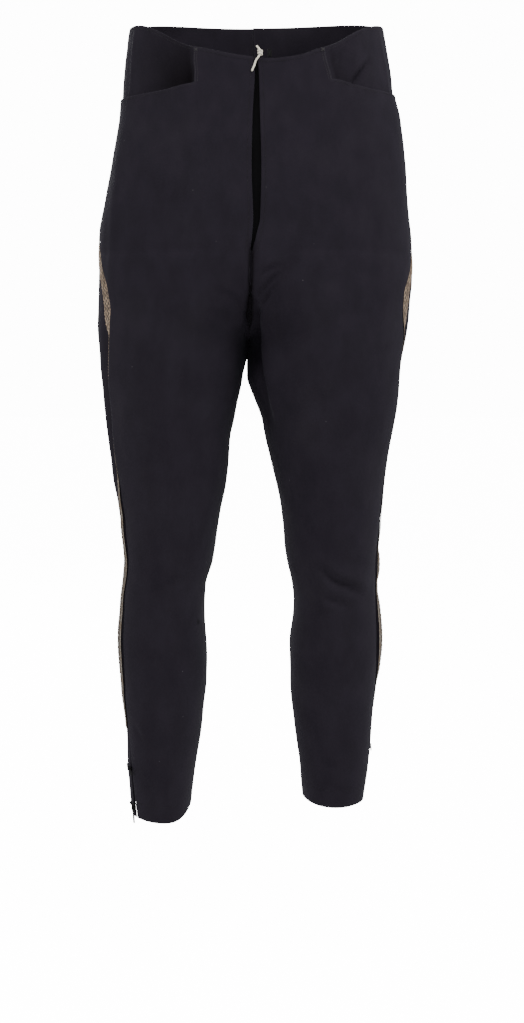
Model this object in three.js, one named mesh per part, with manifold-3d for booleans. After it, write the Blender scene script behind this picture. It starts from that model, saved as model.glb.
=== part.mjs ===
// Pantaloons of dark blue wool cloth: two fronts and two backs, frog-mouth pockets, an open fly with an
// underlap, gold lace over the side seams, and a slit with tape ties at each hem.
// Millimetres. +Z is up, the front faces -Y, and the wearer's left is +X.
// The origin is the centre of the waist, where the garment is held.
import * as THREE from "three";
import { mergeVertices } from "three/addons/utils/BufferGeometryUtils.js";
import Module from "manifold-3d";

const wasm = await Module();
wasm.setup();

// Cloth and trim
const CLOTH = 2;
const SEAM_GAP = 0.3;
const UNDERLAP_GAP = 0.6;
const UNDERLAP_DROP = 3;
const LEG_CLEARANCE = 0.6;
const POCKET_CLOTH = 1.7;
const POCKET_SINK_BY_COLUMN = [0, 0, 4, 2.4];
const POCKET_LAP = 0.4;
const LACE_WIDTH = 19;
const LACE_THICKNESS = 0.8;
const LACE_INSET = 0.6;
const CORD_DIAMETER = 2.4;
const CORD_SIDES = 8;
const KNOT_BAND = 2.6;
const KNOT_SLACK = 0.1;
const KNOT_SIDES = 14;
const TAPE_WIDTH = 4;
const TAPE_THICKNESS = 1;
const TAPE_STEPS = 5;
const HEM_KNOT = 5;

// Heights of the fork seam: where it leaves the centre front, and its lowest point
const FORK_START = -270;
const FORK_LOW = -372;
const FLY_END = -290;
const FLY_CLOSED = -300;
const SLIT_TOP = -885;
const SLIT_EASE = 40;
const SLIT_GAPE = 1.7;
const LACE_END = -855;
const LAST_FULL_ROW = -865;

// Shape of the sections: 2 is an ellipse, more is squarer
const BODY_FRONT_POWER = 2.35;
const BODY_BACK_POWER = 2.2;
const LEG_POWER = 2.1;

// Grid
const FRONT_COLUMNS = 12;
const BACK_COLUMNS = 12;
const LACE_COLUMNS = 2;
const POCKET_SEAM_COLUMN = 3;
const CURVE_STEPS = 60;
const TOP_ROWS = 3;
const MOUTH_ROWS = 2;
const HIP_ROWS = [-125, -150, -175, -200, -225, -249];
const FORK_ROWS = 6;
const FORK_CROWDING = 6;
const HEM_ROWS = 3;

// Makes rows of named values from a list of columns and a short table.
function table(columns, rows) {
  return rows.map((row) => Object.fromEntries(columns.map((name, i) => [name, row[i]])));
}

// Outline from the front: how far out each side reaches from the middle of the body
const OUTER = table(["z", "right", "left"], [
  [40, 147, 156],
  [12, 158, 162],
  [-25, 162.5, 168],
  [-50, 165, 172],
  [-75, 167.5, 175],
  [-100, 169.5, 181],
  [-150, 177, 187],
  [-200, 186.5, 190],
  [-250, 194, 194],
  [-290, 195.3, 194.5],
  [-350, 195.5, 191],
  [-400, 192.5, 184.5],
  [-450, 188.5, 179.5],
  [-500, 181.5, 170],
  [-550, 175, 162.5],
  [-600, 167.5, 156],
  [-650, 163.8, 152],
  [-700, 166.3, 153.5],
  [-750, 169.8, 155],
  [-800, 165.8, 150],
  [-850, 161, 145.5],
  [-900, 158.5, 141],
  [-950, 155, 133.5],
  [-980, 153, 129],
]);

// Inner side of each leg, measured outwards from the middle of the body; it is negative past the middle
const INNER = table(["z", "right", "left"], [
  [-372, 7.5, -7],
  [-390, 10, -8.5],
  [-420, 15, -10.5],
  [-435, 18, -6],
  [-450, 21, 0],
  [-475, 26, 9],
  [-500, 31, 14],
  [-525, 32.5, 20],
  [-550, 35.5, 26],
  [-600, 44, 34],
  [-650, 52.5, 40],
  [-680, 61, 46],
  [-710, 62, 47.5],
  [-760, 60, 43],
  [-800, 61, 44],
  [-850, 66, 49],
  [-900, 72.5, 55],
  [-950, 79, 61],
  [-980, 81, 64],
]);

// Outline from the side: front and back of the section
const DEPTH = table(["z", "front", "back"], [
  [40, -97, 92],
  [0, -102, 97],
  [-50, -107, 103],
  [-100, -112, 113],
  [-150, -117, 125],
  [-200, -119, 134],
  [-250, -119, 138],
  [-300, -116, 135],
  [-350, -112, 126],
  [-400, -107, 114],
  [-450, -102, 104],
  [-500, -96, 96],
  [-550, -90, 88],
  [-600, -86, 80],
  [-650, -82, 73],
  [-700, -76, 71],
  [-750, -69, 74],
  [-800, -63, 75],
  [-850, -58, 68],
  [-900, -53, 57],
  [-950, -49, 48],
  [-980, -47, 45],
]);

// The side seam: how far it lies from the middle of the depth, and how deep the fold behind it sinks
const SEAM = table(["z", "right", "left", "fold"], [
  [40, 24, 24, 0],
  [-50, 26, 26, 0],
  [-100, 27, 27, 0],
  [-150, 25, 25, 0],
  [-200, 13, 16, 0],
  [-235, -8, -3, 0],
  [-258, -26, -16, 0],
  [-275, -38, -26, 0],
  [-290, -49, -37, 0],
  [-302, -58, -46, 0],
  [-320, -67, -55, 0],
  [-340, -72, -54, 1],
  [-357, -72, -49, 4],
  [-375, -70, -40, 9],
  [-430, -59, -31, 12],
  [-480, -53, -28, 11],
  [-515, -49, -27, 9],
  [-545, -51, -29, 5],
  [-582, -51, -29, 1],
  [-620, -47, -24, 0],
  [-645, -47, -26, 0],
  [-684, -40, -32, 0],
  [-743, -39, -31, 0],
  [-778, -36, -20, 0],
  [-815, -27, -6, 0],
  [-850, -25, 4, 0],
  [-900, -30, 20, 0],
  [-950, -32, 30, 0],
  [-980, -33, 33, 0],
]);
const FOLD_BEHIND = 15;
const FOLD_HALF_WIDTH = 10;

// The middle plane between the two halves, and the open edges of the fly
const MIDDLE = table(["z", "x"], [
  [-250, -3],
  [-300, -4.5],
  [-345, -6],
  [-372, -7.2],
  [-420, -12.5],
]);
const FLY = table(["z", "right", "left"], [
  [40, 1.5, 3],
  [-42, 1.5, 3],
  [-61, -0.2, 4.9],
  [-111, 2.2, 6.4],
  [-172, 3.4, 7.9],
  [-233, 1.6, 6.4],
  [-250, 2.6, 2.6],
  [-279, 5, -2.6],
  [-300, 4.7, -4.3],
]);

// Waist edge over the front, by distance from the middle
const WAIST = {
  right: table(["z", "height"], [
    [160, 10],
    [150, 8.5],
    [135, 4],
    [114, -7],
    [89, -21],
    [70, -28],
    [58, -30.5],
    [30, -37],
    [0, -42],
  ]),
  left: table(["z", "height"], [
    [164, 11],
    [160, 10],
    [138, 2],
    [124, -5],
    [116, -10],
    [98, -21],
    [76, -29.5],
    [45, -40],
    [20, -43],
    [0, -42.5],
  ]),
};
const WAIST_BACK_RISE = 24;
const WAIST_BACK_REACH = 95;

// Pocket mouth, by distance from the middle
const MOUTH = {
  right: table(["z", "height"], [
    [170, -76],
    [160, -79],
    [138, -80.5],
    [112, -79],
    [69, -71],
    [0, -72],
  ]),
  left: table(["z", "height"], [
    [176, -71],
    [160, -73.5],
    [137, -74],
    [107, -70.5],
    [85, -66.5],
    [0, -68],
  ]),
};
const POCKET_SEAM = { right: { top: 71, low: 72 }, left: { top: 79, low: 88 } };
const POCKET_LEVEL = -20;
const POCKET_SEAM_RUN = 50;
const MOUTH_LEVEL = -95;
const EVENING_RUN = 130;
const UNDERLAP_HALF = 20;

// Hem height at the inner side, the front, the side seam and the back
const HEM = {
  right: { inner: -951, front: -964, outer: -961, back: -955 },
  left: { inner: -941, front: -944, outer: -946, back: -939 },
};

// Rows of the legs, below the fork
const LEG_ROWS = [
  -388, -408, -432, -458, -486, -514, -542, -570, -598, -626, -654, -682, -710, -738, -766, -794, -822, -845,
];

const SIGN = { right: -1, left: 1 };

// Reads a column at a height: a smooth curve through the rows, flat past either end.
function read(rows, column, z) {
  const last = rows.length - 1;
  if (z >= rows[0].z) return rows[0][column];
  if (z <= rows[last].z) return rows[last][column];
  let k = 0;
  while (rows[k + 1].z > z) k++;
  const slope = (i) => (rows[i + 1][column] - rows[i][column]) / (rows[i + 1].z - rows[i].z);
  const tangent = (i) => {
    if (i === 0) return slope(0);
    if (i === last) return slope(last - 1);
    const before = slope(i - 1);
    const after = slope(i);
    return before * after <= 0 ? 0 : (2 * before * after) / (before + after);
  };
  const span = rows[k + 1].z - rows[k].z;
  const t = (z - rows[k].z) / span;
  const a = rows[k][column];
  const b = rows[k + 1][column];
  return (
    a * (2 * t ** 3 - 3 * t ** 2 + 1) +
    b * (3 * t ** 2 - 2 * t ** 3) +
    span * tangent(k) * (t ** 3 - 2 * t ** 2 + t) +
    span * tangent(k + 1) * (t ** 3 - t ** 2)
  );
}

function mix(a, b, t) {
  return a + (b - a) * t;
}

function clamped(t) {
  return Math.min(Math.max(t, 0), 1);
}

function power(value, exponent) {
  return Math.sign(value) * Math.abs(value) ** exponent;
}

// How far the fork seam has come from the centre front or back (0) to its lowest point (1).
function forkShare(z) {
  return clamped((FORK_START - z) / (FORK_START - FORK_LOW));
}

// Where a section ends at the middle plane or the fly, or turns at the inseam, measured outwards.
function innerEdge(side, half, z) {
  if (half === "front" && z > FLY_CLOSED) return read(FLY, side, z);
  const plane = SIGN[side] * read(MIDDLE, "x", z) + SEAM_GAP / 2;
  return z > FORK_LOW ? plane : Math.max(read(INNER, side, z), plane + LEG_CLEARANCE);
}

// Point of the horizontal section of one half, before the fold. The section is a ring about the leg
// that the middle plane cuts open above the fork: the angle of the cut grows from a right angle, half
// an ellipse round the body, to a straight one, the whole ring of a leg. t runs over the front from
// the side seam (0) to its inner edge (1), or over the back in the same way.
function sectionPoint(side, half, z, t) {
  const outer = read(OUTER, side, z);
  const seamY = read(SEAM, side, z);
  const depth = { front: read(DEPTH, "front", z), back: read(DEPTH, "back", z) };
  const share = forkShare(z);
  const squareness = mix(half === "front" ? BODY_FRONT_POWER : BODY_BACK_POWER, LEG_POWER, share);
  const bend = 2 / squareness;
  const cut = Math.acos(-share);
  const inner = innerEdge(side, half, z);
  const halfWidth = (outer - inner) / (1 + share ** bend);
  const reach = seamY < 0 ? depth.front : depth.back;
  const seamAngle = Math.asin(power(Math.abs(seamY / reach), 1 / bend)) * (seamY < 0 ? 1 : -1);
  const angle = mix(seamAngle, half === "front" ? cut : -cut, t);
  const across = power(Math.cos(angle), bend);
  const deep = Math.abs(power(Math.sin(angle), bend));
  return {
    out: outer - halfWidth * (1 - across),
    y: (angle > 0 ? depth.front : depth.back) * deep,
  };
}

// The section of a half as points with their distance from the side seam.
function sectionCurve(side, half, z) {
  const curve = [];
  let length = 0;
  for (let k = 0; k <= CURVE_STEPS; k++) {
    const p = sectionPoint(side, half, z, k / CURVE_STEPS);
    if (k > 0) length += Math.hypot(p.out - curve[k - 1].out, p.y - curve[k - 1].y);
    curve.push({ ...p, length });
  }
  return curve;
}

// Point of a section at a distance from the side seam, with the soft fold behind the seam pressed in.
function surfacePoint(side, half, z, distance) {
  const curve = sectionCurve(side, half, z);
  const total = curve[CURVE_STEPS].length;
  const wanted = Math.min(Math.max(distance, 0), total);
  let k = 0;
  while (k < CURVE_STEPS - 1 && curve[k + 1].length < wanted) k++;
  const a = curve[k];
  const b = curve[k + 1];
  const t = (wanted - a.length) / (b.length - a.length);
  let out = mix(a.out, b.out, t);
  const y = mix(a.y, b.y, t);
  if (half === "back") {
    const away = (wanted - FOLD_BEHIND) / FOLD_HALF_WIDTH;
    out -= read(SEAM, "fold", z) * Math.exp(-away * away);
  }
  return new THREE.Vector3(SIGN[side] * out, y, z);
}

function sectionLength(side, half, z) {
  return sectionCurve(side, half, z)[CURVE_STEPS].length;
}

// Distance from the side seam at a share of the way to the inner edge. Through the fork, where a section
// grows quickly at its inner end, the growth is taken up near that end, so that the columns run down evenly.
function spread(side, half, z, share) {
  const total = sectionLength(side, half, z);
  const down = forkShare(z);
  if (down === 0 || down === 1) return total * share;
  const even = mix(sectionLength(side, half, FORK_START), sectionLength(side, half, FORK_LOW), down);
  return even * share + (total - even) * share ** FORK_CROWDING;
}

// Distance of a column from the side seam. Front columns count from the centre front or inseam.
function columnDistance(side, half, z, column) {
  if (half === "back") {
    if (column <= LACE_COLUMNS) return (LACE_WIDTH * column) / LACE_COLUMNS;
    const rest = (column - LACE_COLUMNS) / (BACK_COLUMNS - LACE_COLUMNS);
    return LACE_WIDTH * (1 - rest) + spread(side, half, z, rest);
  }
  const total = sectionLength(side, half, z);
  const even = spread(side, half, z, 1 - column / FRONT_COLUMNS);
  const down = clamped((POCKET_LEVEL - z) / POCKET_SEAM_RUN);
  const seam = mix(POCKET_SEAM[side].top, POCKET_SEAM[side].low, down);
  const inside = [0, UNDERLAP_HALF, (UNDERLAP_HALF + seam) / 2, seam];
  const beyond = (column - POCKET_SEAM_COLUMN) / (FRONT_COLUMNS - POCKET_SEAM_COLUMN);
  const atTop = column < inside.length ? inside[column] : mix(seam, total, beyond);
  const share = clamped((MOUTH_LEVEL - z) / EVENING_RUN);
  return mix(total - atTop, even, share);
}

// Height of the waist edge over a point: a table over the front, and a gentle rise over the back.
function waistHeight(side, point) {
  const front = read(WAIST[side], "height", Math.abs(point.x));
  const edge = WAIST[side][0].height;
  const behind = clamped(point.y / WAIST_BACK_REACH);
  if (point.y < 0) return front;
  return edge + WAIST_BACK_RISE * Math.sin((behind * Math.PI) / 2);
}

// Height of the hem at a share of the way from the inner side to the side seam.
function hemHeight(side, half, share) {
  const hem = HEM[side];
  const middleHeight = half === "front" ? hem.front : hem.back;
  const from = share < 0.5 ? hem.inner : middleHeight;
  const to = share < 0.5 ? middleHeight : hem.outer;
  const t = share < 0.5 ? share * 2 : share * 2 - 1;
  return mix(from, to, (1 - Math.cos(t * Math.PI)) / 2);
}

// Heights of the rows of one column, from the waist edge to the hem.
function columnHeights(side, half, column) {
  const guide = surfacePoint(side, half, POCKET_LEVEL, columnDistance(side, half, POCKET_LEVEL, column));
  const top = waistHeight(side, guide);
  const mouth = guide.y > 0 ? MOUTH[side][0].height : read(MOUTH[side], "height", Math.abs(guide.x));
  const heights = [];
  for (let k = 0; k < TOP_ROWS; k++) heights.push(mix(top, mouth, k / TOP_ROWS));
  for (let k = 0; k < MOUTH_ROWS; k++) heights.push(mix(mouth, HIP_ROWS[0], k / MOUTH_ROWS));
  heights.push(...HIP_ROWS);
  const columns = half === "front" ? FRONT_COLUMNS : BACK_COLUMNS;
  const share = half === "front" ? column / columns : 1 - column / columns;
  for (let k = 0; k <= FORK_ROWS; k++) {
    const even = k / FORK_ROWS;
    const down = mix(even, Math.sin((even * Math.PI) / 2), (1 - share) ** 2);
    heights.push(FORK_START - (FORK_START - FORK_LOW) * down);
  }
  heights.push(...LEG_ROWS);
  const hem = hemHeight(side, half, share);
  for (let k = 0; k <= HEM_ROWS; k++) heights.push(mix(LAST_FULL_ROW, hem, k / HEM_ROWS));
  return heights;
}

// One half of the garment as a grid: columns run from the centre front or inseam round the side to the
// centre back or inseam, and rows from the waist edge to the hem.
function halfGrid(side) {
  const columns = [];
  for (let i = 0; i <= FRONT_COLUMNS; i++) columns.push({ half: "front", column: i });
  for (let i = 1; i <= BACK_COLUMNS; i++) columns.push({ half: "back", column: i });
  const grid = columns.map(({ half, column }) =>
    columnHeights(side, half, column).map((z) =>
      surfacePoint(side, half, z, columnDistance(side, half, z, column)),
    ),
  );
  const rows = grid[0].map((_, j) => grid.map((line) => line[j]));
  const forkRow = rows.length - 1 - HEM_ROWS - LEG_ROWS.length - 1;
  return { side, rows, normals: gridNormals(side, rows, forkRow), forkRow };
}

// Outward directions at the points of a grid: the mean of the faces round each point. Below the fork
// the first and last columns are the two sides of the inseam, so they share one direction.
function gridNormals(side, rows, forkRow) {
  const normals = rows.map((row) => row.map(() => new THREE.Vector3()));
  for (let j = 0; j + 1 < rows.length; j++) {
    for (let i = 0; i + 1 < rows[j].length; i++) {
      const across = rows[j][i + 1].clone().sub(rows[j + 1][i]);
      const along = rows[j + 1][i + 1].clone().sub(rows[j][i]);
      const face = across.cross(along).multiplyScalar(-SIGN[side]);
      for (const [a, b] of [[j, i], [j, i + 1], [j + 1, i], [j + 1, i + 1]]) normals[a][b].add(face);
    }
  }
  for (let j = forkRow; j < rows.length; j++) {
    const last = rows[j].length - 1;
    normals[j][0].add(normals[j][last]);
    normals[j][last].copy(normals[j][0]);
  }
  for (const line of normals) for (const n of line) n.normalize();
  return normals;
}

// A closed wall over the kept cells of a grid, from low to high along the outward directions.
function wall({ rows, normals, low, high, keep = () => true, sink = () => 0 }) {
  const height = rows.length;
  const width = rows[0].length;
  const positions = [];
  for (const depth of [high, low]) {
    rows.forEach((row, j) =>
      row.forEach((p, i) => {
        const q = p.clone().addScaledVector(normals[j][i], depth - sink(j, i));
        positions.push(q.x, q.y, q.z);
      }),
    );
  }
  const outerAt = (j, i) => j * width + i;
  const innerAt = (j, i) => height * width + j * width + i;
  const kept = (j, i) => j >= 0 && i >= 0 && j < height - 1 && i < width - 1 && keep(j, i);
  const index = [];
  const quad = (a, b, c, d) => index.push(a, b, c, a, c, d);
  for (let j = 0; j < height - 1; j++) {
    for (let i = 0; i < width - 1; i++) {
      if (!kept(j, i)) continue;
      quad(outerAt(j, i), outerAt(j + 1, i), outerAt(j + 1, i + 1), outerAt(j, i + 1));
      index.push(innerAt(j, i), innerAt(j + 1, i + 1), innerAt(j + 1, i));
      index.push(innerAt(j, i), innerAt(j, i + 1), innerAt(j + 1, i + 1));
      const edges = [
        [kept(j - 1, i), [j, i + 1], [j, i]],
        [kept(j + 1, i), [j + 1, i], [j + 1, i + 1]],
        [kept(j, i - 1), [j, i], [j + 1, i]],
        [kept(j, i + 1), [j + 1, i + 1], [j, i + 1]],
      ];
      for (const [shared, from, to] of edges) {
        if (!shared) quad(outerAt(...to), outerAt(...from), innerAt(...from), innerAt(...to));
      }
    }
  }
  return closedGeometry(positions, index);
}

// A geometry of the used points alone, turned so that its faces point outwards.
function closedGeometry(positions, index) {
  const renumbered = new Map();
  const used = [];
  const faces = index.map((k) => {
    if (!renumbered.has(k)) {
      renumbered.set(k, used.length / 3);
      used.push(positions[3 * k], positions[3 * k + 1], positions[3 * k + 2]);
    }
    return renumbered.get(k);
  });
  const point = (k) => new THREE.Vector3(used[3 * k], used[3 * k + 1], used[3 * k + 2]);
  let volume = 0;
  for (let f = 0; f < faces.length; f += 3) {
    volume += point(faces[f]).dot(point(faces[f + 1]).cross(point(faces[f + 2])));
  }
  if (volume < 0) faces.reverse();
  const geometry = new THREE.BufferGeometry();
  geometry.setAttribute("position", new THREE.Float32BufferAttribute(used, 3));
  geometry.setIndex(faces);
  return geometry;
}

function solid(geometry) {
  const bare = geometry.clone();
  bare.deleteAttribute("normal");
  bare.deleteAttribute("uv");
  const merged = mergeVertices(bare, 1e-4);
  const triVerts = new Uint32Array(merged.index.array);
  const vertProperties = new Float32Array(merged.attributes.position.array);
  return new wasm.Manifold(new wasm.Mesh({ numProp: 3, vertProperties, triVerts }));
}

// One geometry of several that overlap.
function joined(geometries) {
  const whole = geometries.map(solid).reduce((a, b) => a.add(b));
  const { vertProperties, triVerts, numProp } = whole.getMesh();
  const positions = [];
  for (let k = 0; k < vertProperties.length; k += numProp) {
    positions.push(vertProperties[k], vertProperties[k + 1], vertProperties[k + 2]);
  }
  const geometry = new THREE.BufferGeometry();
  geometry.setAttribute("position", new THREE.Float32BufferAttribute(positions, 3));
  geometry.setIndex([...triVerts]);
  return geometry;
}

// Moves the points of one column sideways, away from a seam, by a distance at each row.
function openSeam(rows, column, towards, distance) {
  return rows.map((row, j) =>
    row.map((p, i) => {
      if (i !== column) return p;
      const step = row[towards].clone().sub(p);
      return p.clone().addScaledVector(step.normalize(), distance(p, j));
    }),
  );
}

const materials = {
  cloth: new THREE.MeshStandardMaterial({ color: 0x24232e, roughness: 0.95, metalness: 0 }),
  lining: new THREE.MeshStandardMaterial({ color: 0x17171c, roughness: 0.9, metalness: 0 }),
  lace: new THREE.MeshStandardMaterial({ color: 0xa58f66, roughness: 0.6, metalness: 0.35 }),
  cord: new THREE.MeshStandardMaterial({ color: 0xe8e2d0, roughness: 0.9, metalness: 0 }),
  tape: new THREE.MeshStandardMaterial({ color: 0x121215, roughness: 0.85, metalness: 0 }),
};

const pantaloons = new THREE.Group();

function add(name, geometry, material) {
  const mesh = new THREE.Mesh(geometry, material.clone());
  mesh.name = name;
  pantaloons.add(mesh);
}

// Half the gap at the side seam, which widens into the slit at the hem, and half the gap at the inseam.
const seamOpening = (p) => SEAM_GAP / 2 + clamped((SLIT_TOP - p.z) / SLIT_EASE) * SLIT_GAPE;
const inseamOpening = () => SEAM_GAP / 2;

// The front of one leg, without the corner that the pocket mouth cuts away.
function addFront(grid) {
  const { side, forkRow } = grid;
  const last = FRONT_COLUMNS;
  let rows = grid.rows.map((row) => row.slice(0, last + 1));
  const normals = grid.normals.map((row) => row.slice(0, last + 1));
  rows = openSeam(rows, last, last - 1, seamOpening);
  rows = openSeam(rows, 0, 1, (p, j) => (j >= forkRow ? inseamOpening() : 0));
  const keep = (j, i) => j >= TOP_ROWS || i < POCKET_SEAM_COLUMN;
  add("front_" + side, wall({ rows, normals, low: -CLOTH, high: 0, keep }), materials.cloth);
}

function addBack(grid) {
  const { side, forkRow } = grid;
  let rows = grid.rows.map((row) => row.slice(FRONT_COLUMNS));
  const normals = grid.normals.map((row) => row.slice(FRONT_COLUMNS));
  rows = openSeam(rows, 0, 1, seamOpening);
  rows = openSeam(rows, BACK_COLUMNS, BACK_COLUMNS - 1, (p, j) => (j >= forkRow ? inseamOpening() : 0));
  add("back_" + side, wall({ rows, normals, low: -CLOTH, high: 0 }), materials.cloth);
}

// The side piece behind the pocket mouth: it runs under the front at the pocket seam and below the mouth.
function addPocketSide(grid) {
  const { side } = grid;
  const from = POCKET_SEAM_COLUMN - 1;
  const to = FRONT_COLUMNS;
  const lastRow = TOP_ROWS + 1;
  let rows = grid.rows.slice(0, lastRow + 1).map((row) => row.slice(from, to + 1));
  const normals = grid.normals.slice(0, lastRow + 1).map((row) => row.slice(from, to + 1));
  rows = openSeam(rows, to - from, to - from - 1, seamOpening);
  rows = rows.map((row) => {
    const under = row[1].clone().lerp(row[0], POCKET_LAP);
    return [under, ...row.slice(1)];
  });
  const high = -CLOTH - SEAM_GAP;
  const sink = (j, i) => (j < TOP_ROWS ? POCKET_SINK_BY_COLUMN[i] ?? 0 : 0);
  const low = high - POCKET_CLOTH;
  add("pocket_side_" + side, wall({ rows, normals, low, high, sink }), materials.cloth);
}

function addLace(grid) {
  const { side } = grid;
  const end = grid.rows.findIndex((row) => row[FRONT_COLUMNS].z < LACE_END);
  const pick = (line) => line.slice(FRONT_COLUMNS, FRONT_COLUMNS + LACE_COLUMNS + 1);
  let rows = grid.rows.slice(0, end).map(pick);
  const normals = grid.normals.slice(0, end).map(pick);
  rows = openSeam(rows, 0, 1, () => LACE_INSET);
  const low = SEAM_GAP;
  add("lace_" + side, wall({ rows, normals, low, high: low + LACE_THICKNESS }), materials.lace);
}

// The strip behind the open edges of the fly, made from the first columns of both fronts, moved in.
function addUnderlap(right, left) {
  const end = right.rows.findIndex((row) => row[0].z < FLY_END);
  const across = (a, b) => [a[1], a[0], b[0], b[1]];
  const rows = [];
  const normals = [];
  for (let j = 0; j < end; j++) {
    rows.push(across(right.rows[j], left.rows[j]));
    normals.push(across(right.normals[j], left.normals[j]));
  }
  const drop = new THREE.Vector3(0, 0, -UNDERLAP_DROP);
  rows[0] = rows[0].map((p) => p.clone().add(drop));
  const high = -CLOTH - UNDERLAP_GAP;
  add("fly_underlap", wall({ rows, normals, low: high - CLOTH, high }), materials.lining);
}

// A strip of tape or a cord: a section carried along a smooth route.
function carried(shape, route, steps) {
  const path = new THREE.CatmullRomCurve3(route.map((p) => new THREE.Vector3(...p)));
  return new THREE.ExtrudeGeometry(shape, { steps, bevelEnabled: false, extrudePath: path });
}

function round(radius, sides) {
  const shape = new THREE.Shape();
  for (let k = 0; k < sides; k++) {
    const angle = (2 * Math.PI * k) / sides;
    const point = [radius * Math.cos(angle), radius * Math.sin(angle)];
    if (k === 0) shape.moveTo(...point);
    else shape.lineTo(...point);
  }
  return shape;
}

function rectangle(width, thickness) {
  const shape = new THREE.Shape();
  shape.moveTo(-width / 2, -thickness / 2);
  shape.lineTo(width / 2, -thickness / 2);
  shape.lineTo(width / 2, thickness / 2);
  shape.lineTo(-width / 2, thickness / 2);
  return shape;
}

// The route of the cord: its short end stands up, and its tail hangs down the front from the knot.
const CORD_ROUTE = [
  [2.2, -103, -28.5],
  [5.2, -104.5, -32],
  [6.6, -106, -36.6],
  [5.2, -107.8, -41.4],
  [1.8, -108.3, -46.6],
  [-0.2, -108.8, -52.3],
  [-3.2, -109.6, -59.6],
];
const CORD_KNOT = 2;
const CORD_STEPS = 14;

function addWaistCord() {
  const section = round(CORD_DIAMETER / 2, CORD_SIDES);
  add("waist_cord", carried(section, CORD_ROUTE, CORD_STEPS), materials.cord);
  const ring = CORD_DIAMETER / 2 + SEAM_GAP + KNOT_BAND / 2 + KNOT_SLACK;
  const knot = new THREE.TorusGeometry(ring, KNOT_BAND / 2, CORD_SIDES, KNOT_SIDES);
  const path = new THREE.CatmullRomCurve3(CORD_ROUTE.map((p) => new THREE.Vector3(...p)));
  const along = path.getTangent(CORD_KNOT / (CORD_ROUTE.length - 1));
  const turn = new THREE.Quaternion().setFromUnitVectors(new THREE.Vector3(0, 0, 1), along);
  knot.applyQuaternion(turn);
  knot.translate(...CORD_ROUTE[CORD_KNOT]);
  add("waist_cord_knot", knot, materials.cord);
}

// The small tab that stands on the waist edge.
const TAB = { x: 17.6, width: 5, height: 10, thickness: 1.6, arcs: 5 };

function addWaistTab(left) {
  const shape = new THREE.Shape();
  const half = TAB.width / 2;
  shape.moveTo(-half, 0);
  shape.lineTo(half, 0);
  shape.lineTo(half, TAB.height - half);
  shape.absarc(0, TAB.height - half, half, 0, Math.PI, false);
  const tab = new THREE.ExtrudeGeometry(shape, {
    depth: TAB.thickness,
    bevelEnabled: false,
    curveSegments: TAB.arcs,
  });
  tab.rotateX(Math.PI / 2);
  const [inner, next] = left.rows[0];
  const edge = inner.clone().lerp(next, (TAB.x - inner.x) / (next.x - inner.x));
  tab.translate(TAB.x, edge.y + CLOTH, edge.z + SEAM_GAP * 2);
  add("waist_tab", tab, materials.tape);
}

// A tape tie over the hem slit: a knot and two ends. An end is given by its middle and its tip, as
// distances forwards, outwards and upwards from the seam, level with the knot. lift is the knot's own
// distance outwards.
const TIES = {
  upper: { height: -901, lift: 2.65, ends: [[[-4, 3.6, 1.5], [-7, 3, 5]], [[5, 3.2, -2], [9, 2.8, -5]]] },
  lower: { height: -949, lift: 2.25, ends: [[[-2.5, 3.4, 3], [-4, 3.2, 6]], [[2, 3, -9], [3, 2.9, -20]]] },
};
const TIE_RAISE = { right: 0, left: 16 };

function addTie(grid, place) {
  const { side } = grid;
  const { lift, ends } = TIES[place];
  const height = TIES[place].height + TIE_RAISE[side];
  const j = grid.rows.findIndex((row) => row[FRONT_COLUMNS].z < height);
  const above = grid.rows[j - 1][FRONT_COLUMNS];
  const below = grid.rows[j][FRONT_COLUMNS];
  const seam = above.clone().lerp(below, (above.z - height) / (above.z - below.z));
  const up = new THREE.Vector3(0, 0, 1);
  const out = grid.normals[j][FRONT_COLUMNS].clone().setZ(0).normalize();
  const forward = out.clone().cross(up).multiplyScalar(SIGN[side]);
  const at = (ahead, away, raised) =>
    seam.clone().addScaledVector(forward, ahead).addScaledVector(out, away).addScaledVector(up, raised);
  const knot = new THREE.IcosahedronGeometry(HEM_KNOT / 2, 1);
  knot.translate(...at(0, lift, 0));
  const tapes = ends.map((points) => {
    const route = [at(0, lift, 0), ...points.map((p) => at(...p))].map((p) => p.toArray());
    return carried(rectangle(TAPE_WIDTH, TAPE_THICKNESS), route, TAPE_STEPS);
  });
  add("hem_tie_" + place + "_" + side, joined([knot, ...tapes]), materials.tape);
}

const halves = { right: halfGrid("right"), left: halfGrid("left") };
for (const grid of Object.values(halves)) {
  addFront(grid);
  addBack(grid);
  addPocketSide(grid);
  addLace(grid);
  addTie(grid, "upper");
  addTie(grid, "lower");
}
addUnderlap(halves.right, halves.left);
addWaistCord();
addWaistTab(halves.left);

export default pantaloons;
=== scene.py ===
"""Pantaloons of dark blue wool cloth, worn and hollow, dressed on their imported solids.

Shapes are worked out in millimetres, in the solids' own frame, and go into the meshes in metres.
+Z is up, the front faces -Y, and the wearer's left is +X. Right and left are the wearer's.
"""
import math

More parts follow.
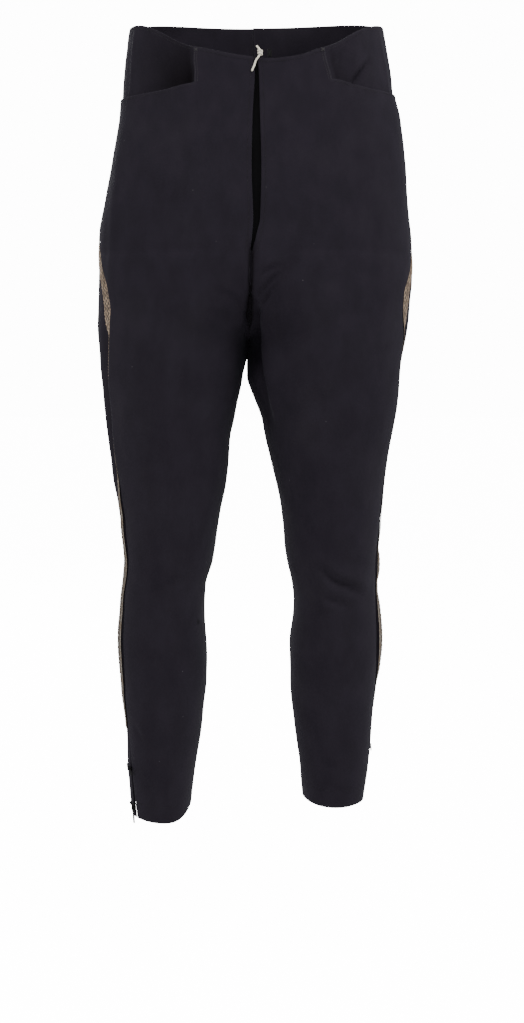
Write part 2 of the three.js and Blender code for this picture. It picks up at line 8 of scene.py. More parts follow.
import bpy
import numpy as np
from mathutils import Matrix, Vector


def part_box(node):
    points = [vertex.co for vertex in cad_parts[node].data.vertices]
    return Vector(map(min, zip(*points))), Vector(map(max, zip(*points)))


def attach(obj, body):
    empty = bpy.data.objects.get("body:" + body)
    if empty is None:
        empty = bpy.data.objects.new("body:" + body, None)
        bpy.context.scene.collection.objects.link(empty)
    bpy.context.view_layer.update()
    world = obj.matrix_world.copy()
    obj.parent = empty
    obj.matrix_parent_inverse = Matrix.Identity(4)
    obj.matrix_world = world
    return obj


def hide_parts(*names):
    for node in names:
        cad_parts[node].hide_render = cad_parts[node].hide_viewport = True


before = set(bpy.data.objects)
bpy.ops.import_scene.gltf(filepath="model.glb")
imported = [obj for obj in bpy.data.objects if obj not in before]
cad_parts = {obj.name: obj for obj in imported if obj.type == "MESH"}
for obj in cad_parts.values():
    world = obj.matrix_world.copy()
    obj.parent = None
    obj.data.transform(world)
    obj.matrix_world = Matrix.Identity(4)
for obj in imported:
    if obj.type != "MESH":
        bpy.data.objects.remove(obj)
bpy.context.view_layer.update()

MM = 0.001
SIGN = {"right": -1, "left": 1}


def in_scene(name, data):
    """A new object in the scene, at the origin."""
    made = bpy.data.objects.new(name, data)
    bpy.context.scene.collection.objects.link(made)
    return made


# Camera: level, at the height of the thighs, with the frame shifted down to take in the hems
VIEW_DISTANCE = 1750
VIEW_ACROSS = 8.75
VIEW_HEIGHT = -370
FOCAL_PIXELS = 1400
LONG_SIDE = 1023
SENSOR = 36
HORIZON_ROW = 336

camera_data = bpy.data.cameras.new("camera")
camera_data.sensor_width = SENSOR
camera_data.lens = FOCAL_PIXELS / LONG_SIDE * SENSOR
camera_data.shift_y = -(LONG_SIDE / 2 - HORIZON_ROW) / LONG_SIDE
camera = in_scene("camera", camera_data)
camera.location = (VIEW_ACROSS * MM, -VIEW_DISTANCE * MM, VIEW_HEIGHT * MM)
camera.rotation_euler = (math.pi / 2, 0, 0)
bpy.context.scene.camera = camera


# Meshes
def new_piece(name, points, quads, material, slot, tris=None, uv=None, masks=None):
    """A mesh object on the root body: points in millimetres, faces, a UV in metres and named masks."""
    tris = np.zeros((0, 3), int) if tris is None else np.asarray(tris)
    quads = np.asarray(quads)
    loops = np.concatenate([quads.ravel(), tris.ravel()]).astype(np.int32)
    sizes = np.concatenate([np.full(len(quads), 4), np.full(len(tris), 3)])
    mesh = bpy.data.meshes.new(name)
    mesh.vertices.add(len(points))
    mesh.vertices.foreach_set("co", (np.asarray(points) * MM).astype(np.float32).ravel())
    mesh.loops.add(len(loops))
    mesh.loops.foreach_set("vertex_index", loops)
    mesh.polygons.add(len(sizes))
    mesh.polygons.foreach_set("loop_start", (np.cumsum(sizes) - sizes).astype(np.int32))
    mesh.update(calc_edges=True)
    if uv is not None:
        layer = mesh.uv_layers.new(name="cloth")
        layer.data.foreach_set("uv", (uv[loops] * MM).astype(np.float32).ravel())
    for mask, values in (masks or {}).items():
        attribute = mesh.attributes.new(mask, "FLOAT", "POINT")
        attribute.data.foreach_set("value", np.asarray(values, np.float32))
    mesh.shade_smooth()
    mesh.materials.append(material)
    piece = in_scene(name, mesh)
    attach(piece, "root")
    return piece


def faces_out(points, quads, tris=None):
    """Turns all faces round if the closed form that they make has a negative volume."""
    parts = [quads[:, [0, 1, 2]], quads[:, [0, 2, 3]]]
    if tris is not None and len(tris):
        parts.append(tris)
    t = points[np.concatenate(parts)]
    volume = np.einsum("ij,ij->i", t[:, 0], np.cross(t[:, 1], t[:, 2])).sum()
    if volume >= 0:
        return quads, tris
    return quads[:, ::-1], None if tris is None else tris[:, ::-1]


def mix(a, b, t):
    """From a at 0 to b at 1."""
    return a + (b - a) * t


def share_of(t):
    """Held between 0 and 1."""
    return np.clip(t, 0, 1)


def unit(vectors):
    """Each vector divided by its length."""
    return vectors / np.maximum(np.linalg.norm(vectors, axis=-1, keepdims=True), 1e-9)


def lengths_along(route):
    """Length of a route from its start to each of its points."""
    return np.concatenate([[0], np.cumsum(np.linalg.norm(np.diff(route, axis=0), axis=1))])


def smooth_route(points, count):
    """A curve through the points: between two of them a cubic whose slopes are those of the chords."""
    p = np.asarray(points, float)
    knots = lengths_along(p)
    slope = np.gradient(p, knots, axis=0)
    s = np.linspace(0, knots[-1], count)
    k = np.clip(np.searchsorted(knots, s) - 1, 0, len(p) - 2)
    span = (knots[k + 1] - knots[k])[:, None]
    t = (s - knots[k])[:, None] / span
    return (
        p[k] * (2 * t**3 - 3 * t**2 + 1)
        + p[k + 1] * (3 * t**2 - 2 * t**3)
        + slope[k] * span * (t**3 - 2 * t**2 + t)
        + slope[k + 1] * span * (t**3 - t**2)
    )


UV_ROUND = 10


def carried(route, offsets, up):
    """A closed profile carried along a route. offsets (n along, m round, 2) go to the side, square to the
    route and to up, and along the third direction. Rings are joined by quads, and each end is closed
    round its middle point. The UV is UV_ROUND wide round the profile, and runs along the route."""
    ahead = unit(np.gradient(route, axis=0))
    aside = unit(np.cross(ahead, np.broadcast_to(up, route.shape)))
    high = np.cross(aside, ahead)
    rings = route[:, None] + offsets[..., :1] * aside[:, None] + offsets[..., 1:] * high[:, None]
    n, m = rings.shape[:2]
    points = np.concatenate([rings.reshape(-1, 3), rings[0].mean(0)[None], rings[-1].mean(0)[None]])
    i, j = np.meshgrid(np.arange(n - 1), np.arange(m), indexing="ij")
    k = (j + 1) % m
    quads = np.stack([i * m + j, (i + 1) * m + j, (i + 1) * m + k, i * m + k], -1).reshape(-1, 4)
    r = np.arange(m)
    s = (r + 1) % m
    start = np.stack([np.full(m, n * m), r, s], 1)
    end = np.stack([np.full(m, n * m + 1), (n - 1) * m + s, (n - 1) * m + r], 1)
    quads, tris = faces_out(points, quads, np.concatenate([start, end]))
    round_share = np.tile(np.arange(m) / m, n)
    uv = np.stack([round_share * UV_ROUND, np.repeat(lengths_along(route), m)], 1)
    uv = np.concatenate([uv, uv[:1], uv[-1:]])
    return points, quads, tris, uv


def merged(parts):
    """Several sets of points, quads, triangles and UVs as one."""
    points, quads, tris, uvs = zip(*parts)
    starts = np.cumsum([0] + [len(p) for p in points[:-1]])
    quads = [q + start for q, start in zip(quads, starts)]
    tris = [t + start for t, start in zip(tris, starts)]
    return tuple(np.concatenate(group) for group in (points, quads, tris, uvs))


# Shaders
def node_group(name, inputs, outputs):
    """An empty shader group with named inputs (name, kind, value) and outputs (name, kind)."""
    kinds = {"value": "NodeSocketFloat", "vector": "NodeSocketVector"}
    group = bpy.data.node_groups.new(name, "ShaderNodeTree")
    for label, kind, value in inputs:
        socket = group.interface.new_socket(name=label, in_out="INPUT", socket_type=kinds[kind])
        if value is not None:
            socket.default_value = value
    for label, kind in outputs:
        group.interface.new_socket(name=label, in_out="OUTPUT", socket_type=kinds[kind])
    start = group.nodes.new("NodeGroupInput")
    end = group.nodes.new("NodeGroupOutput")
    return group, start, end


class Wiring:
    """Short ways to add and join shader nodes in one tree. A value is a number, a colour or a socket."""

    def __init__(self, tree):
        self.tree = tree

    def node(self, kind, **settings):
        """A new node with the given settings."""
        made = self.tree.nodes.new(kind)
        for key, value in settings.items():
            setattr(made, key, value)
        return made

    def put(self, socket, value):
        """Joins a socket to an input, or sets the input to a number or colour."""
        if isinstance(value, bpy.types.NodeSocket):
            self.tree.links.new(value, socket)
        else:
            socket.default_value = value

    def maths(self, operation, *values, clamp=False):
        """The result of a sum, product or function of the values."""
        made = self.node("ShaderNodeMath", operation=operation, use_clamp=clamp)
        for socket, value in zip(made.inputs, values):
            self.put(socket, value)
        return made.outputs[0]

    def noise(self, vector, scale, detail=2.0, roughness=0.5):
        """Noise from 0 to 1 at a point, finer with a larger scale."""
        made = self.node("ShaderNodeTexNoise")
        self.put(made.inputs["Vector"], vector)
        self.put(made.inputs["Scale"], scale)
        made.inputs["Detail"].default_value = detail
        made.inputs["Roughness"].default_value = roughness
        return made.outputs["Fac"]

    def spread(self, value, low, high, to_low=0.0, to_high=1.0):
        """Spreads a value between low and high over another range, as a smooth step."""
        made = self.node("ShaderNodeMapRange", interpolation_type="SMOOTHSTEP")
        for key, part in zip(range(5), (value, low, high, to_low, to_high)):
            self.put(made.inputs[key], part)
        return made.outputs[0]

    def blend(self, share, a, b):
        """Colour a where the share is 0, and b where it is 1."""
        made = self.node("ShaderNodeMix", data_type="RGBA")
        for socket, value in ((made.inputs[0], share), (made.inputs[6], a), (made.inputs[7], b)):
            self.put(socket, value)
        return made.outputs[2]

    def parted(self, vector):
        """The three parts of a vector or colour."""
        made = self.node("ShaderNodeSeparateXYZ")
        self.put(made.inputs[0], vector)
        return made.outputs

    def joined(self, x, y, z=0.0):
        """A vector of three parts."""
        made = self.node("ShaderNodeCombineXYZ")
        for socket, value in zip(made.inputs, (x, y, z)):
            self.put(socket, value)
        return made.outputs[0]

    def coordinates(self, which):
        """A set of texture coordinates."""
        return self.node("ShaderNodeTexCoord").outputs[which]

    def mask(self, name):
        """A named value that a mesh holds at its points."""
        return self.node("ShaderNodeAttribute", attribute_name=name).outputs["Fac"]

    def bump(self, height, strength, distance, normal=None):
        """The normal of a surface with a fine relief."""
        made = self.node("ShaderNodeBump")
        made.inputs["Strength"].default_value = strength
        made.inputs["Distance"].default_value = distance
        self.put(made.inputs["Height"], height)
        if normal is not None:
            self.put(made.inputs["Normal"], normal)
        return made.outputs[0]

    def seen_as(self, lit, seen):
        """A strength for the light on other things, and another where the surface itself is seen."""
        rays = self.node("ShaderNodeLightPath").outputs["Is Camera Ray"]
        return self.spread(rays, 0.0, 1.0, lit, seen)

    def group(self, tree, **values):
        """The outputs of a shared group with the given inputs."""
        made = self.node("ShaderNodeGroup", node_tree=tree)
        for label, value in values.items():
            self.put(made.inputs[label], value)
        return made.outputs


def twill_group():
    """Diagonal ribs of a twill on the UV: a sine of the sum of both directions, crossed by the picks."""
    group, start, end = node_group(
        "twill", [("UV", "vector", None), ("Threads", "value", 1200.0)], [("Height", "value")]
    )
    w = Wiring(group)
    u, v, _ = w.parted(start.outputs["UV"])
    across = w.maths("MULTIPLY", u, start.outputs["Threads"])
    along = w.maths("MULTIPLY", v, start.outputs["Threads"])
    rib = w.maths("SINE", w.maths("MULTIPLY", w.maths("ADD", across, along), math.pi))
    pick = w.maths("SINE", w.maths("MULTIPLY", along, 2 * math.pi))
    height = w.maths("ADD", w.maths("MULTIPLY", rib, 0.35), w.maths("MULTIPLY", pick, 0.15))
    w.put(end.inputs["Height"], w.maths("ADD", height, 0.5))
    return group


def nap_group():
    """Short fulled nap: two sizes of noise, drawn out a little down the cloth."""
    group, start, end = node_group(
        "nap",
        [("Point", "vector", None), ("Fineness", "value", 900.0)],
        [("Height", "value"), ("Tone", "value")],
    )
    w = Wiring(group)
    x, y, z = w.parted(start.outputs["Point"])
    drawn = w.joined(x, y, w.maths("MULTIPLY", z, 0.6))
    fine = w.noise(drawn, start.outputs["Fineness"], 3.0, 0.6)
    broad = w.noise(drawn, w.maths("MULTIPLY", start.outputs["Fineness"], 0.05), 4.0, 0.55)
    both = w.maths("ADD", w.maths("MULTIPLY", fine, 0.7), w.maths("MULTIPLY", broad, 0.3))
    w.put(end.inputs["Height"], both)
    w.put(end.inputs["Tone"], broad)
    return group


def dust_group():
    """Pale lint and dust: sparse round specks, and a thin film that gathers in soft patches."""
    group, start, end = node_group(
        "dust",
        [("Point", "vector", None), ("Specks", "value", 70.0), ("Size", "value", 0.04)],
        [("Specks", "value"), ("Film", "value")],
    )
    w = Wiring(group)
    cells = w.node("ShaderNodeTexVoronoi", feature="F1")
    w.put(cells.inputs["Vector"], start.outputs["Point"])
    w.put(cells.inputs["Scale"], start.outputs["Specks"])
    near = w.maths("LESS_THAN", cells.outputs["Distance"], start.outputs["Size"])
    chosen = w.maths("GREATER_THAN", w.parted(cells.outputs["Color"])[0], 0.86)
    w.put(end.inputs["Specks"], w.maths("MULTIPLY", near, chosen))
    patches = w.noise(start.outputs["Point"], 9.0, 5.0, 0.6)
    w.put(end.inputs["Film"], w.spread(patches, 0.42, 0.78))
    return group


def wear_group():
    """Wear along edges: the edge mask broken up by noise."""
    group, start, end = node_group(
        "edge_wear",
        [("Edge", "value", 0.0), ("Point", "vector", None), ("Amount", "value", 1.0)],
        [("Worn", "value")],
    )
    w = Wiring(group)
    broken = w.spread(w.noise(start.outputs["Point"], 160.0, 4.0, 0.65), 0.35, 0.7)
    worn = w.maths("MULTIPLY", start.outputs["Edge"], w.maths("ADD", w.maths("MULTIPLY", broken, 0.7), 0.3))
    w.put(end.inputs["Worn"], w.maths("MULTIPLY", worn, start.outputs["Amount"], clamp=True))
    return group


TWILL, NAP, DUST, WEAR = twill_group(), nap_group(), dust_group(), wear_group()


def material(name):
    """A new material, its wiring and its Principled shader."""
    made = bpy.data.materials.new(name)
    made.use_nodes = True
    tree = made.node_tree
    return made, Wiring(tree), tree.nodes["Principled BSDF"]


WEAR_SHARE, DUST_SHARE = 0.25, 0.12
SPECK_COLOUR, LINT_COLOUR = (0.16, 0.16, 0.165, 1), (0.09, 0.085, 0.085, 1)
# The soil colour is painted shade: near-black cloth blended in where the pocket sides sink and along the
# fronts' inner edges below the fly.
PAINTED_SHADE_COLOUR, HOLE_COLOUR = (0.0022, 0.0015, 0.0018, 1), (0.0015, 0.0012, 0.0015, 1)


def wool_material(name, dark, light, worn_colour, sheen, threads):
    """Fulled wool: nap over a faint twill, soft patches of tone, lint, and paler worn edges."""
    made, w, shader = material(name)
    point = w.coordinates("Object")
    nap = w.group(NAP, Point=point)
    weave = w.group(TWILL, UV=w.coordinates("UV"), Threads=threads)["Height"]
    lint = w.group(DUST, Point=point)
    worn = w.group(WEAR, Edge=w.mask("edge"), Point=point, Amount=WEAR_SHARE)["Worn"]
    tone = w.spread(nap["Tone"], 0.3, 0.72)
    colour = w.blend(tone, dark, light)
    colour = w.blend(w.maths("MULTIPLY", lint["Film"], DUST_SHARE), colour, worn_colour)
    colour = w.blend(w.maths("MULTIPLY", weave, 0.3), colour, dark)
    colour = w.blend(worn, colour, worn_colour)
    colour = w.blend(w.maths("MULTIPLY", lint["Specks"], 0.3), colour, SPECK_COLOUR)
    # The soil mask is painted shade: it darkens the cloth in the pocket hollows and along the fronts' inner
    # edges below the fly.
    for mask, mark_colour in (("soil_and_painted_shade", PAINTED_SHADE_COLOUR), ("hole", HOLE_COLOUR), ("lint", LINT_COLOUR)):
        colour = w.blend(w.mask(mask), colour, mark_colour)
    w.put(shader.inputs["Base Color"], colour)
    w.put(shader.inputs["Roughness"], w.spread(nap["Height"], 0.2, 0.8, 0.78, 0.95))
    shader.inputs["Specular IOR Level"].default_value = 0.06
    shader.inputs["Sheen Weight"].default_value = sheen
    shader.inputs["Sheen Roughness"].default_value = 0.5
    shader.inputs["Sheen Tint"].default_value = (0.55, 0.56, 0.68, 1)
    coarse = w.bump(weave, 0.25, 0.00012)
    w.put(shader.inputs["Normal"], w.bump(nap["Height"], 0.55, 0.00035, coarse))
    return made


CLOTH = wool_material(
    "dark_blue_wool",
    (0.0098, 0.0079, 0.0118, 1),
    (0.0128, 0.0104, 0.0152, 1),
    (0.034, 0.031, 0.036, 1),
    sheen=0.035,
    threads=1250.0,
)
# The underlap cloth is near black: its own dark cloth, darkened further as painted shade of the fly's slit.
UNDERLAP_PAINTED_SHADE_CLOTH = wool_material(
    "underlap_twill_painted_shade",
    (0.0012, 0.0011, 0.0014, 1),
    (0.002, 0.0019, 0.0023, 1),
    (0.008, 0.008, 0.009, 1),
    sheen=0.0,
    threads=900.0,
)
THREAD_TURNS = 700.0


def thread_material(name, pale, dark, roughness, sheen):
    """Twisted thread: fine diagonal plies on the UV, darker between them, with soft soiling."""
    made, w, shader = material(name)
    point = w.coordinates("Object")
    u, v, _ = w.parted(w.coordinates("UV"))
    twist = w.maths("SINE", w.maths("MULTIPLY", w.maths("ADD", u, v), THREAD_TURNS * 2 * math.pi))
    ply = w.maths("ADD", w.maths("MULTIPLY", twist, 0.5), 0.5)
    soil_and_painted_shade = w.spread(w.noise(point, 140.0, 4.0, 0.6), 0.35, 0.75)
    colour = w.blend(w.maths("MULTIPLY", soil_and_painted_shade, 0.45), pale, dark)
    colour = w.blend(w.maths("MULTIPLY", ply, 0.3), colour, dark)
    w.put(shader.inputs["Base Color"], colour)
    w.put(shader.inputs["Roughness"], w.spread(soil_and_painted_shade, 0.0, 1.0, roughness, min(roughness + 0.12, 1.0)))
    shader.inputs["Specular IOR Level"].default_value = 0.3
    shader.inputs["Sheen Weight"].default_value = sheen
    fluff = w.bump(w.noise(point, 2600.0, 3.0, 0.6), 0.4, 0.0002)
    w.put(shader.inputs["Normal"], w.bump(ply, 0.5, 0.0002, fluff))
    return made


CORD_COTTON = thread_material("white_cotton_cord", (0.72, 0.68, 0.58, 1), (0.42, 0.37, 0.28, 1), 0.85, 0.2)
SEAM_THREAD = thread_material("seam_thread", (0.007, 0.006, 0.0078, 1), (0.004, 0.0037, 0.0045, 1), 0.8, 0.0)
PALE_THREAD = thread_material("pale_thread", (0.034, 0.031, 0.034, 1), (0.016, 0.015, 0.017, 1), 0.8, 0.0)


def tape_material():
    """Black woven tape: a fine herringbone whose diagonal turns at the middle of the tape."""
    made, w, shader = material("black_tape")
    point = w.coordinates("Object")
    u, v, _ = w.parted(w.coordinates("UV"))
    folded = w.maths("PINGPONG", u, 0.0011)
    rib = w.maths("SINE", w.maths("MULTIPLY", w.maths("ADD", folded, v), 4200.0 * math.pi))
    height = w.maths("ADD", w.maths("MULTIPLY", rib, 0.5), 0.5)
    tone = w.spread(w.noise(point, 220.0, 3.0, 0.6), 0.3, 0.75)
    colour = w.blend(tone, (0.002, 0.002, 0.0022, 1), (0.005, 0.0048, 0.0054, 1))
    colour = w.blend(w.maths("MULTIPLY", height, 0.35), colour, (0.009, 0.0088, 0.0096, 1))
    w.put(shader.inputs["Base Color"], colour)
    w.put(shader.inputs["Roughness"], w.spread(tone, 0.0, 1.0, 0.7, 0.85))
    shader.inputs["Specular IOR Level"].default_value = 0.12
    w.put(shader.inputs["Normal"], w.bump(height, 0.5, 0.0002))
    return made


TAPE = tape_material()


def lace_material():
    """Tarnished metal lace: bright on the ridges of the weave, dark and brown in its hollows."""
    made, w, shader = material("gold_lace")
    point = w.coordinates("Object")
    ridge = w.mask("ridge")
    u, v, _ = w.parted(w.coordinates("UV"))
    slant = w.maths("ADD", v, w.maths("MULTIPLY", u, 0.4))
    wrap = w.maths("SINE", w.maths("MULTIPLY", slant, 3600.0 * math.pi))
    strands = w.maths("ADD", w.maths("MULTIPLY", wrap, 0.5), 0.5)
    tarnish = w.spread(w.noise(point, 120.0, 5.0, 0.65), 0.38, 0.66)
    grey = w.spread(w.parted(point)[2], -0.62, -0.34)
    bright = w.blend(grey, (0.24, 0.215, 0.185, 1), (0.7, 0.51, 0.355, 1))
    dull = w.blend(tarnish, bright, (0.23, 0.165, 0.115, 1))
    colour = w.blend(w.spread(ridge, 0.2, 0.75), (0.035, 0.025, 0.018, 1), dull)
    colour = w.blend(w.maths("MULTIPLY", strands, 0.3), colour, (0.075, 0.058, 0.036, 1))
    w.put(shader.inputs["Base Color"], colour)
    w.put(shader.inputs["Metallic"], w.spread(ridge, 0.2, 0.8, 0.25, 0.6))
    w.put(shader.inputs["Roughness"], w.spread(tarnish, 0.0, 1.0, 0.42, 0.68))
    fine = w.bump(w.noise(point, 1500.0, 3.0, 0.6), 0.35, 0.0003)
    w.put(shader.inputs["Normal"], w.bump(strands, 0.5, 0.00025, fine))
    return made


LACE = lace_material()


# Waist cord: the white cord knotted at the top of the fly, with one free end up and one down
CORD_ROUTE = [
    (2.2, -103, -28.5), (5.2, -104.5, -32), (6.6, -106, -36.6), (5.2, -107.8, -41.4),
    (1.8, -108.3, -46.6), (-0.2, -108.8, -52.3), (-3.2, -109.6, -59.6),
]
CORD_DIAMETER = 2.4
CORD_PLIES = 3
CORD_LAY = 5.0
CORD_GROOVE = 0.16
CORD_END, CORD_END_SIZE = 0.02, 0.35
CORD_UP = np.array([0.35, 0.9, 0.1])
CORD_KNOT = 2
KNOT_DIAMETER, KNOT_LAY = 2.1, 4.0
KNOT_TURNS, KNOT_RADIUS, KNOT_HALF_LENGTH = 2.35, 2.15, 2.7


def cord_profile(route, diameter, lay, sides):
    """Round section with a groove between the plies, turned once in each lay length, and drawn in at
    both ends as a square root."""
    along = lengths_along(route)[:, None]
    angle = np.linspace(0, 2 * np.pi, sides, endpoint=False)[None]
    groove = np.abs(np.sin(CORD_PLIES / 2 * (angle - 2 * np.pi * along / lay)))
    share = along / along[-1]
    ends = share_of(np.minimum(share, 1 - share) / CORD_END) ** 0.5
    radius = diameter / 2 * (1 - CORD_GROOVE + CORD_GROOVE * groove) * mix(CORD_END_SIZE, 1, ends)
    return np.stack([radius * np.cos(angle), radius * np.sin(angle)], -1)


def waist_cord():
    """The cord, carried along its route, and its knot: a helix round the cord whose radius swells and
    whose advance slows at both ends, so that the turns lie close there."""
    route = smooth_route(CORD_ROUTE, 110)
    parts = carried(route, cord_profile(route, CORD_DIAMETER, CORD_LAY, 20), CORD_UP)
    cord = new_piece("white_waist_cord", *parts[:2], CORD_COTTON, "cord", *parts[2:])
    before, middle, after = np.array(CORD_ROUTE[CORD_KNOT - 1 : CORD_KNOT + 2], float)
    ahead = unit(after - before)
    aside = unit(np.cross(ahead, (0, 1, 0)))
    high = np.cross(aside, ahead)
    turns = np.linspace(0, 1, 150)
    angle = 2 * np.pi * KNOT_TURNS * turns
    swing = KNOT_RADIUS + 0.25 * np.sin(3 * angle)
    coil = (
        middle
        + ahead * (KNOT_HALF_LENGTH * np.sin(np.pi * (turns - 0.5)))[:, None]
        + aside * (swing * np.cos(angle))[:, None]
        + high * (swing * np.sin(angle))[:, None]
    )
    parts = carried(coil, cord_profile(coil, KNOT_DIAMETER, KNOT_LAY, 14), ahead)
    knot = new_piece("white_cord_knot", *parts[:2], CORD_COTTON, "cord", *parts[2:])
    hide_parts("waist_cord")
    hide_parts("waist_cord_knot")


waist_cord()


# Form of the garment, from the same named tables as the solids
def table(columns, *rows):
    """Rows of numbers as named columns, with z rising."""
    values = np.array(rows, float)[::-1] if rows[0][0] > rows[-1][0] else np.array(rows, float)
    return dict(zip(columns, values.T))


OUTER = table(
    ("z", "right", "left"),
    (40, 147, 156), (12, 158, 162), (-25, 162.5, 168), (-50, 165, 172), (-75, 167.5, 175),
    (-100, 169.5, 181), (-150, 177, 187), (-200, 186.5, 190), (-250, 194, 194),
    (-290, 195.3, 194.5), (-350, 195.5, 191), (-400, 192.5, 184.5), (-450, 188.5, 179.5),
    (-500, 181.5, 170), (-550, 175, 162.5), (-600, 167.5, 156), (-650, 163.8, 152),
    (-700, 166.3, 153.5), (-750, 169.8, 155), (-800, 165.8, 150), (-850, 161, 145.5),
    (-900, 158.5, 141), (-950, 155, 133.5), (-980, 153, 129),
)
INNER = table(
    ("z", "right", "left"),
    (-372, 7.5, -7), (-390, 10, -8.5), (-420, 15, -10.5), (-435, 18, -6), (-450, 21, 0),
    (-475, 26, 9), (-500, 31, 14), (-525, 32.5, 20), (-550, 35.5, 26), (-600, 44, 34),
    (-650, 52.5, 40), (-680, 61, 46), (-710, 62, 47.5), (-760, 60, 43), (-800, 61, 44),
    (-850, 66, 49), (-900, 72.5, 55), (-950, 79, 61), (-980, 81, 64),
)
DEPTH = table(
    ("z", "front", "back"),
    (40, -97, 92), (0, -102, 97), (-50, -107, 103), (-100, -112, 113), (-150, -117, 125),
    (-200, -119, 134), (-250, -119, 138), (-300, -116, 135), (-350, -112, 126), (-400, -107, 114),
    (-450, -102, 104), (-500, -96, 96), (-550, -90, 88), (-600, -86, 80), (-650, -82, 73),
    (-700, -76, 71), (-750, -69, 74), (-800, -63, 75), (-850, -58, 68), (-900, -53, 57),
    (-950, -49, 48), (-980, -47, 45),
)
SEAM = table(
    ("z", "right", "left", "fold"),
    (40, 24, 24, 0), (-50, 26, 26, 0), (-100, 27, 27, 0), (-150, 25, 25, 0), (-200, 13, 16, 0),
    (-235, -8, -3, 0), (-258, -26, -16, 0), (-275, -38, -26, 0), (-290, -49, -37, 0),
    (-302, -58, -46, 0), (-320, -67, -55, 0), (-340, -72, -54, 1), (-357, -72, -49, 4),
    (-375, -70, -40, 9), (-430, -59, -31, 12), (-480, -53, -28, 11), (-515, -49, -27, 9),
    (-545, -51, -29, 5), (-582, -51, -29, 1), (-620, -47, -24, 0), (-645, -47, -26, 0),
    (-684, -40, -32, 0), (-743, -39, -31, 0), (-778, -36, -20, 0), (-815, -27, -6, 0),
    (-850, -25, 4, 0), (-900, -30, 20, 0), (-950, -32, 30, 0), (-980, -33, 33, 0),
)
MIDDLE = table(("z", "x"), (-250, -3), (-300, -4.5), (-345, -6), (-372, -7.2), (-420, -12.5))
FLY = table(
    ("z", "right", "left"),
    (40, 1.5, 3), (-42, 1.5, 3), (-61, -0.2, 4.9), (-111, 2.2, 6.4), (-172, 3.4, 7.9),
    (-233, 1.6, 6.4), (-250, 2.6, 2.6), (-279, 5, -2.6), (-300, 4.7, -4.3),
)
WAIST = {
    "right": table(
        ("z", "height"),
        (160, 10), (150, 8.5), (135, 4), (114, -7), (89, -21), (70, -28), (58, -30.5), (30, -37), (0, -42),
    ),
    "left": table(
        ("z", "height"),
        (164, 11), (160, 10), (138, 2), (124, -5), (116, -10), (98, -21), (76, -29.5), (45, -40),
        (20, -43), (0, -42.5),
    ),
}
MOUTH = {
    "right": table(
        ("z", "height"),
        (170, -76), (160, -79), (138, -80.5), (112, -79), (69, -71), (0, -72),
    ),
    "left": table(
        ("z", "height"),
        (176, -71), (160, -73.5), (137, -74), (107, -70.5), (85, -66.5), (0, -68),
    ),
}
HEM = {
    "right": {"inner": -951, "front": -964, "outer": -961, "back": -955},
    "left": {"inner": -941, "front": -944, "outer": -946, "back": -939},
}
POCKET_SEAM = {"right": (71, 72), "left": (79, 88)}
FORK_START, FORK_LOW, FLY_CLOSED = -270, -372, -300
SLIT_TOP, SLIT_EASE, SLIT_GAPE = -885, 40, 1.7
BODY_POWER = {"front": 2.35, "back": 2.2}
LEG_POWER = 2.1
SEAM_GAP = -0.06
LEG_CLEARANCE = 0.6
COLUMNS = 12
LACE_COLUMNS, LACE_WIDTH, LACE_END = 2, 19, -855
POCKET_SEAM_COLUMN = 3
TOP_ROWS, MOUTH_ROWS, FORK_ROWS, HEM_ROWS, FORK_CROWDING = 3, 2, 6, 3, 6
HIP_ROWS = [-125, -150, -175, -200, -225, -249]
LEG_ROWS = [-388 - 20 * k for k in range(2)] + [-432, -458] + [-486 - 28 * k for k in range(13)] + [-845]
LAST_FULL_ROW = -865
WAIST_BACK_RISE, WAIST_BACK_REACH = 24, 95
POCKET_LEVEL, POCKET_SEAM_RUN, MOUTH_LEVEL, EVENING_RUN, UNDERLAP_HALF = -20, 50, -95, 130, 20
FOLD_BEHIND, FOLD_HALF_WIDTH = 15, 10


def read(rows, column, z):
    """A smooth curve through a column's values, flat past either end: cubic pieces whose slope at a row
    is the harmonic mean of the slopes on either side, or level at a turning point."""
    x, y = rows["z"], rows[column]
    slope = np.diff(y) / np.diff(x)
    before, after = slope[:-1], slope[1:]
    same = before * after > 0
    inner = np.where(same, 2 * before * after / np.where(same, before + after, 1), 0)
    tangent = np.concatenate([slope[:1], inner, slope[-1:]])
    z = np.clip(z, x[0], x[-1])
    k = np.clip(np.searchsorted(x, z, side="right") - 1, 0, len(x) - 2)
    span = x[k + 1] - x[k]
    t = (z - x[k]) / span
    return (
        y[k] * (2 * t**3 - 3 * t**2 + 1)
        + y[k + 1] * (3 * t**2 - 2 * t**3)
        + span * tangent[k] * (t**3 - 2 * t**2 + t)
        + span * tangent[k + 1] * (t**3 - t**2)
    )


def powered(value, exponent):
    """A power that keeps the sign."""
    return np.sign(value) * np.abs(value) ** exponent


def fork_share(z):
    """How far the fork seam has come from the centre front or back to its lowest point."""
    return share_of((FORK_START - z) / (FORK_START - FORK_LOW))


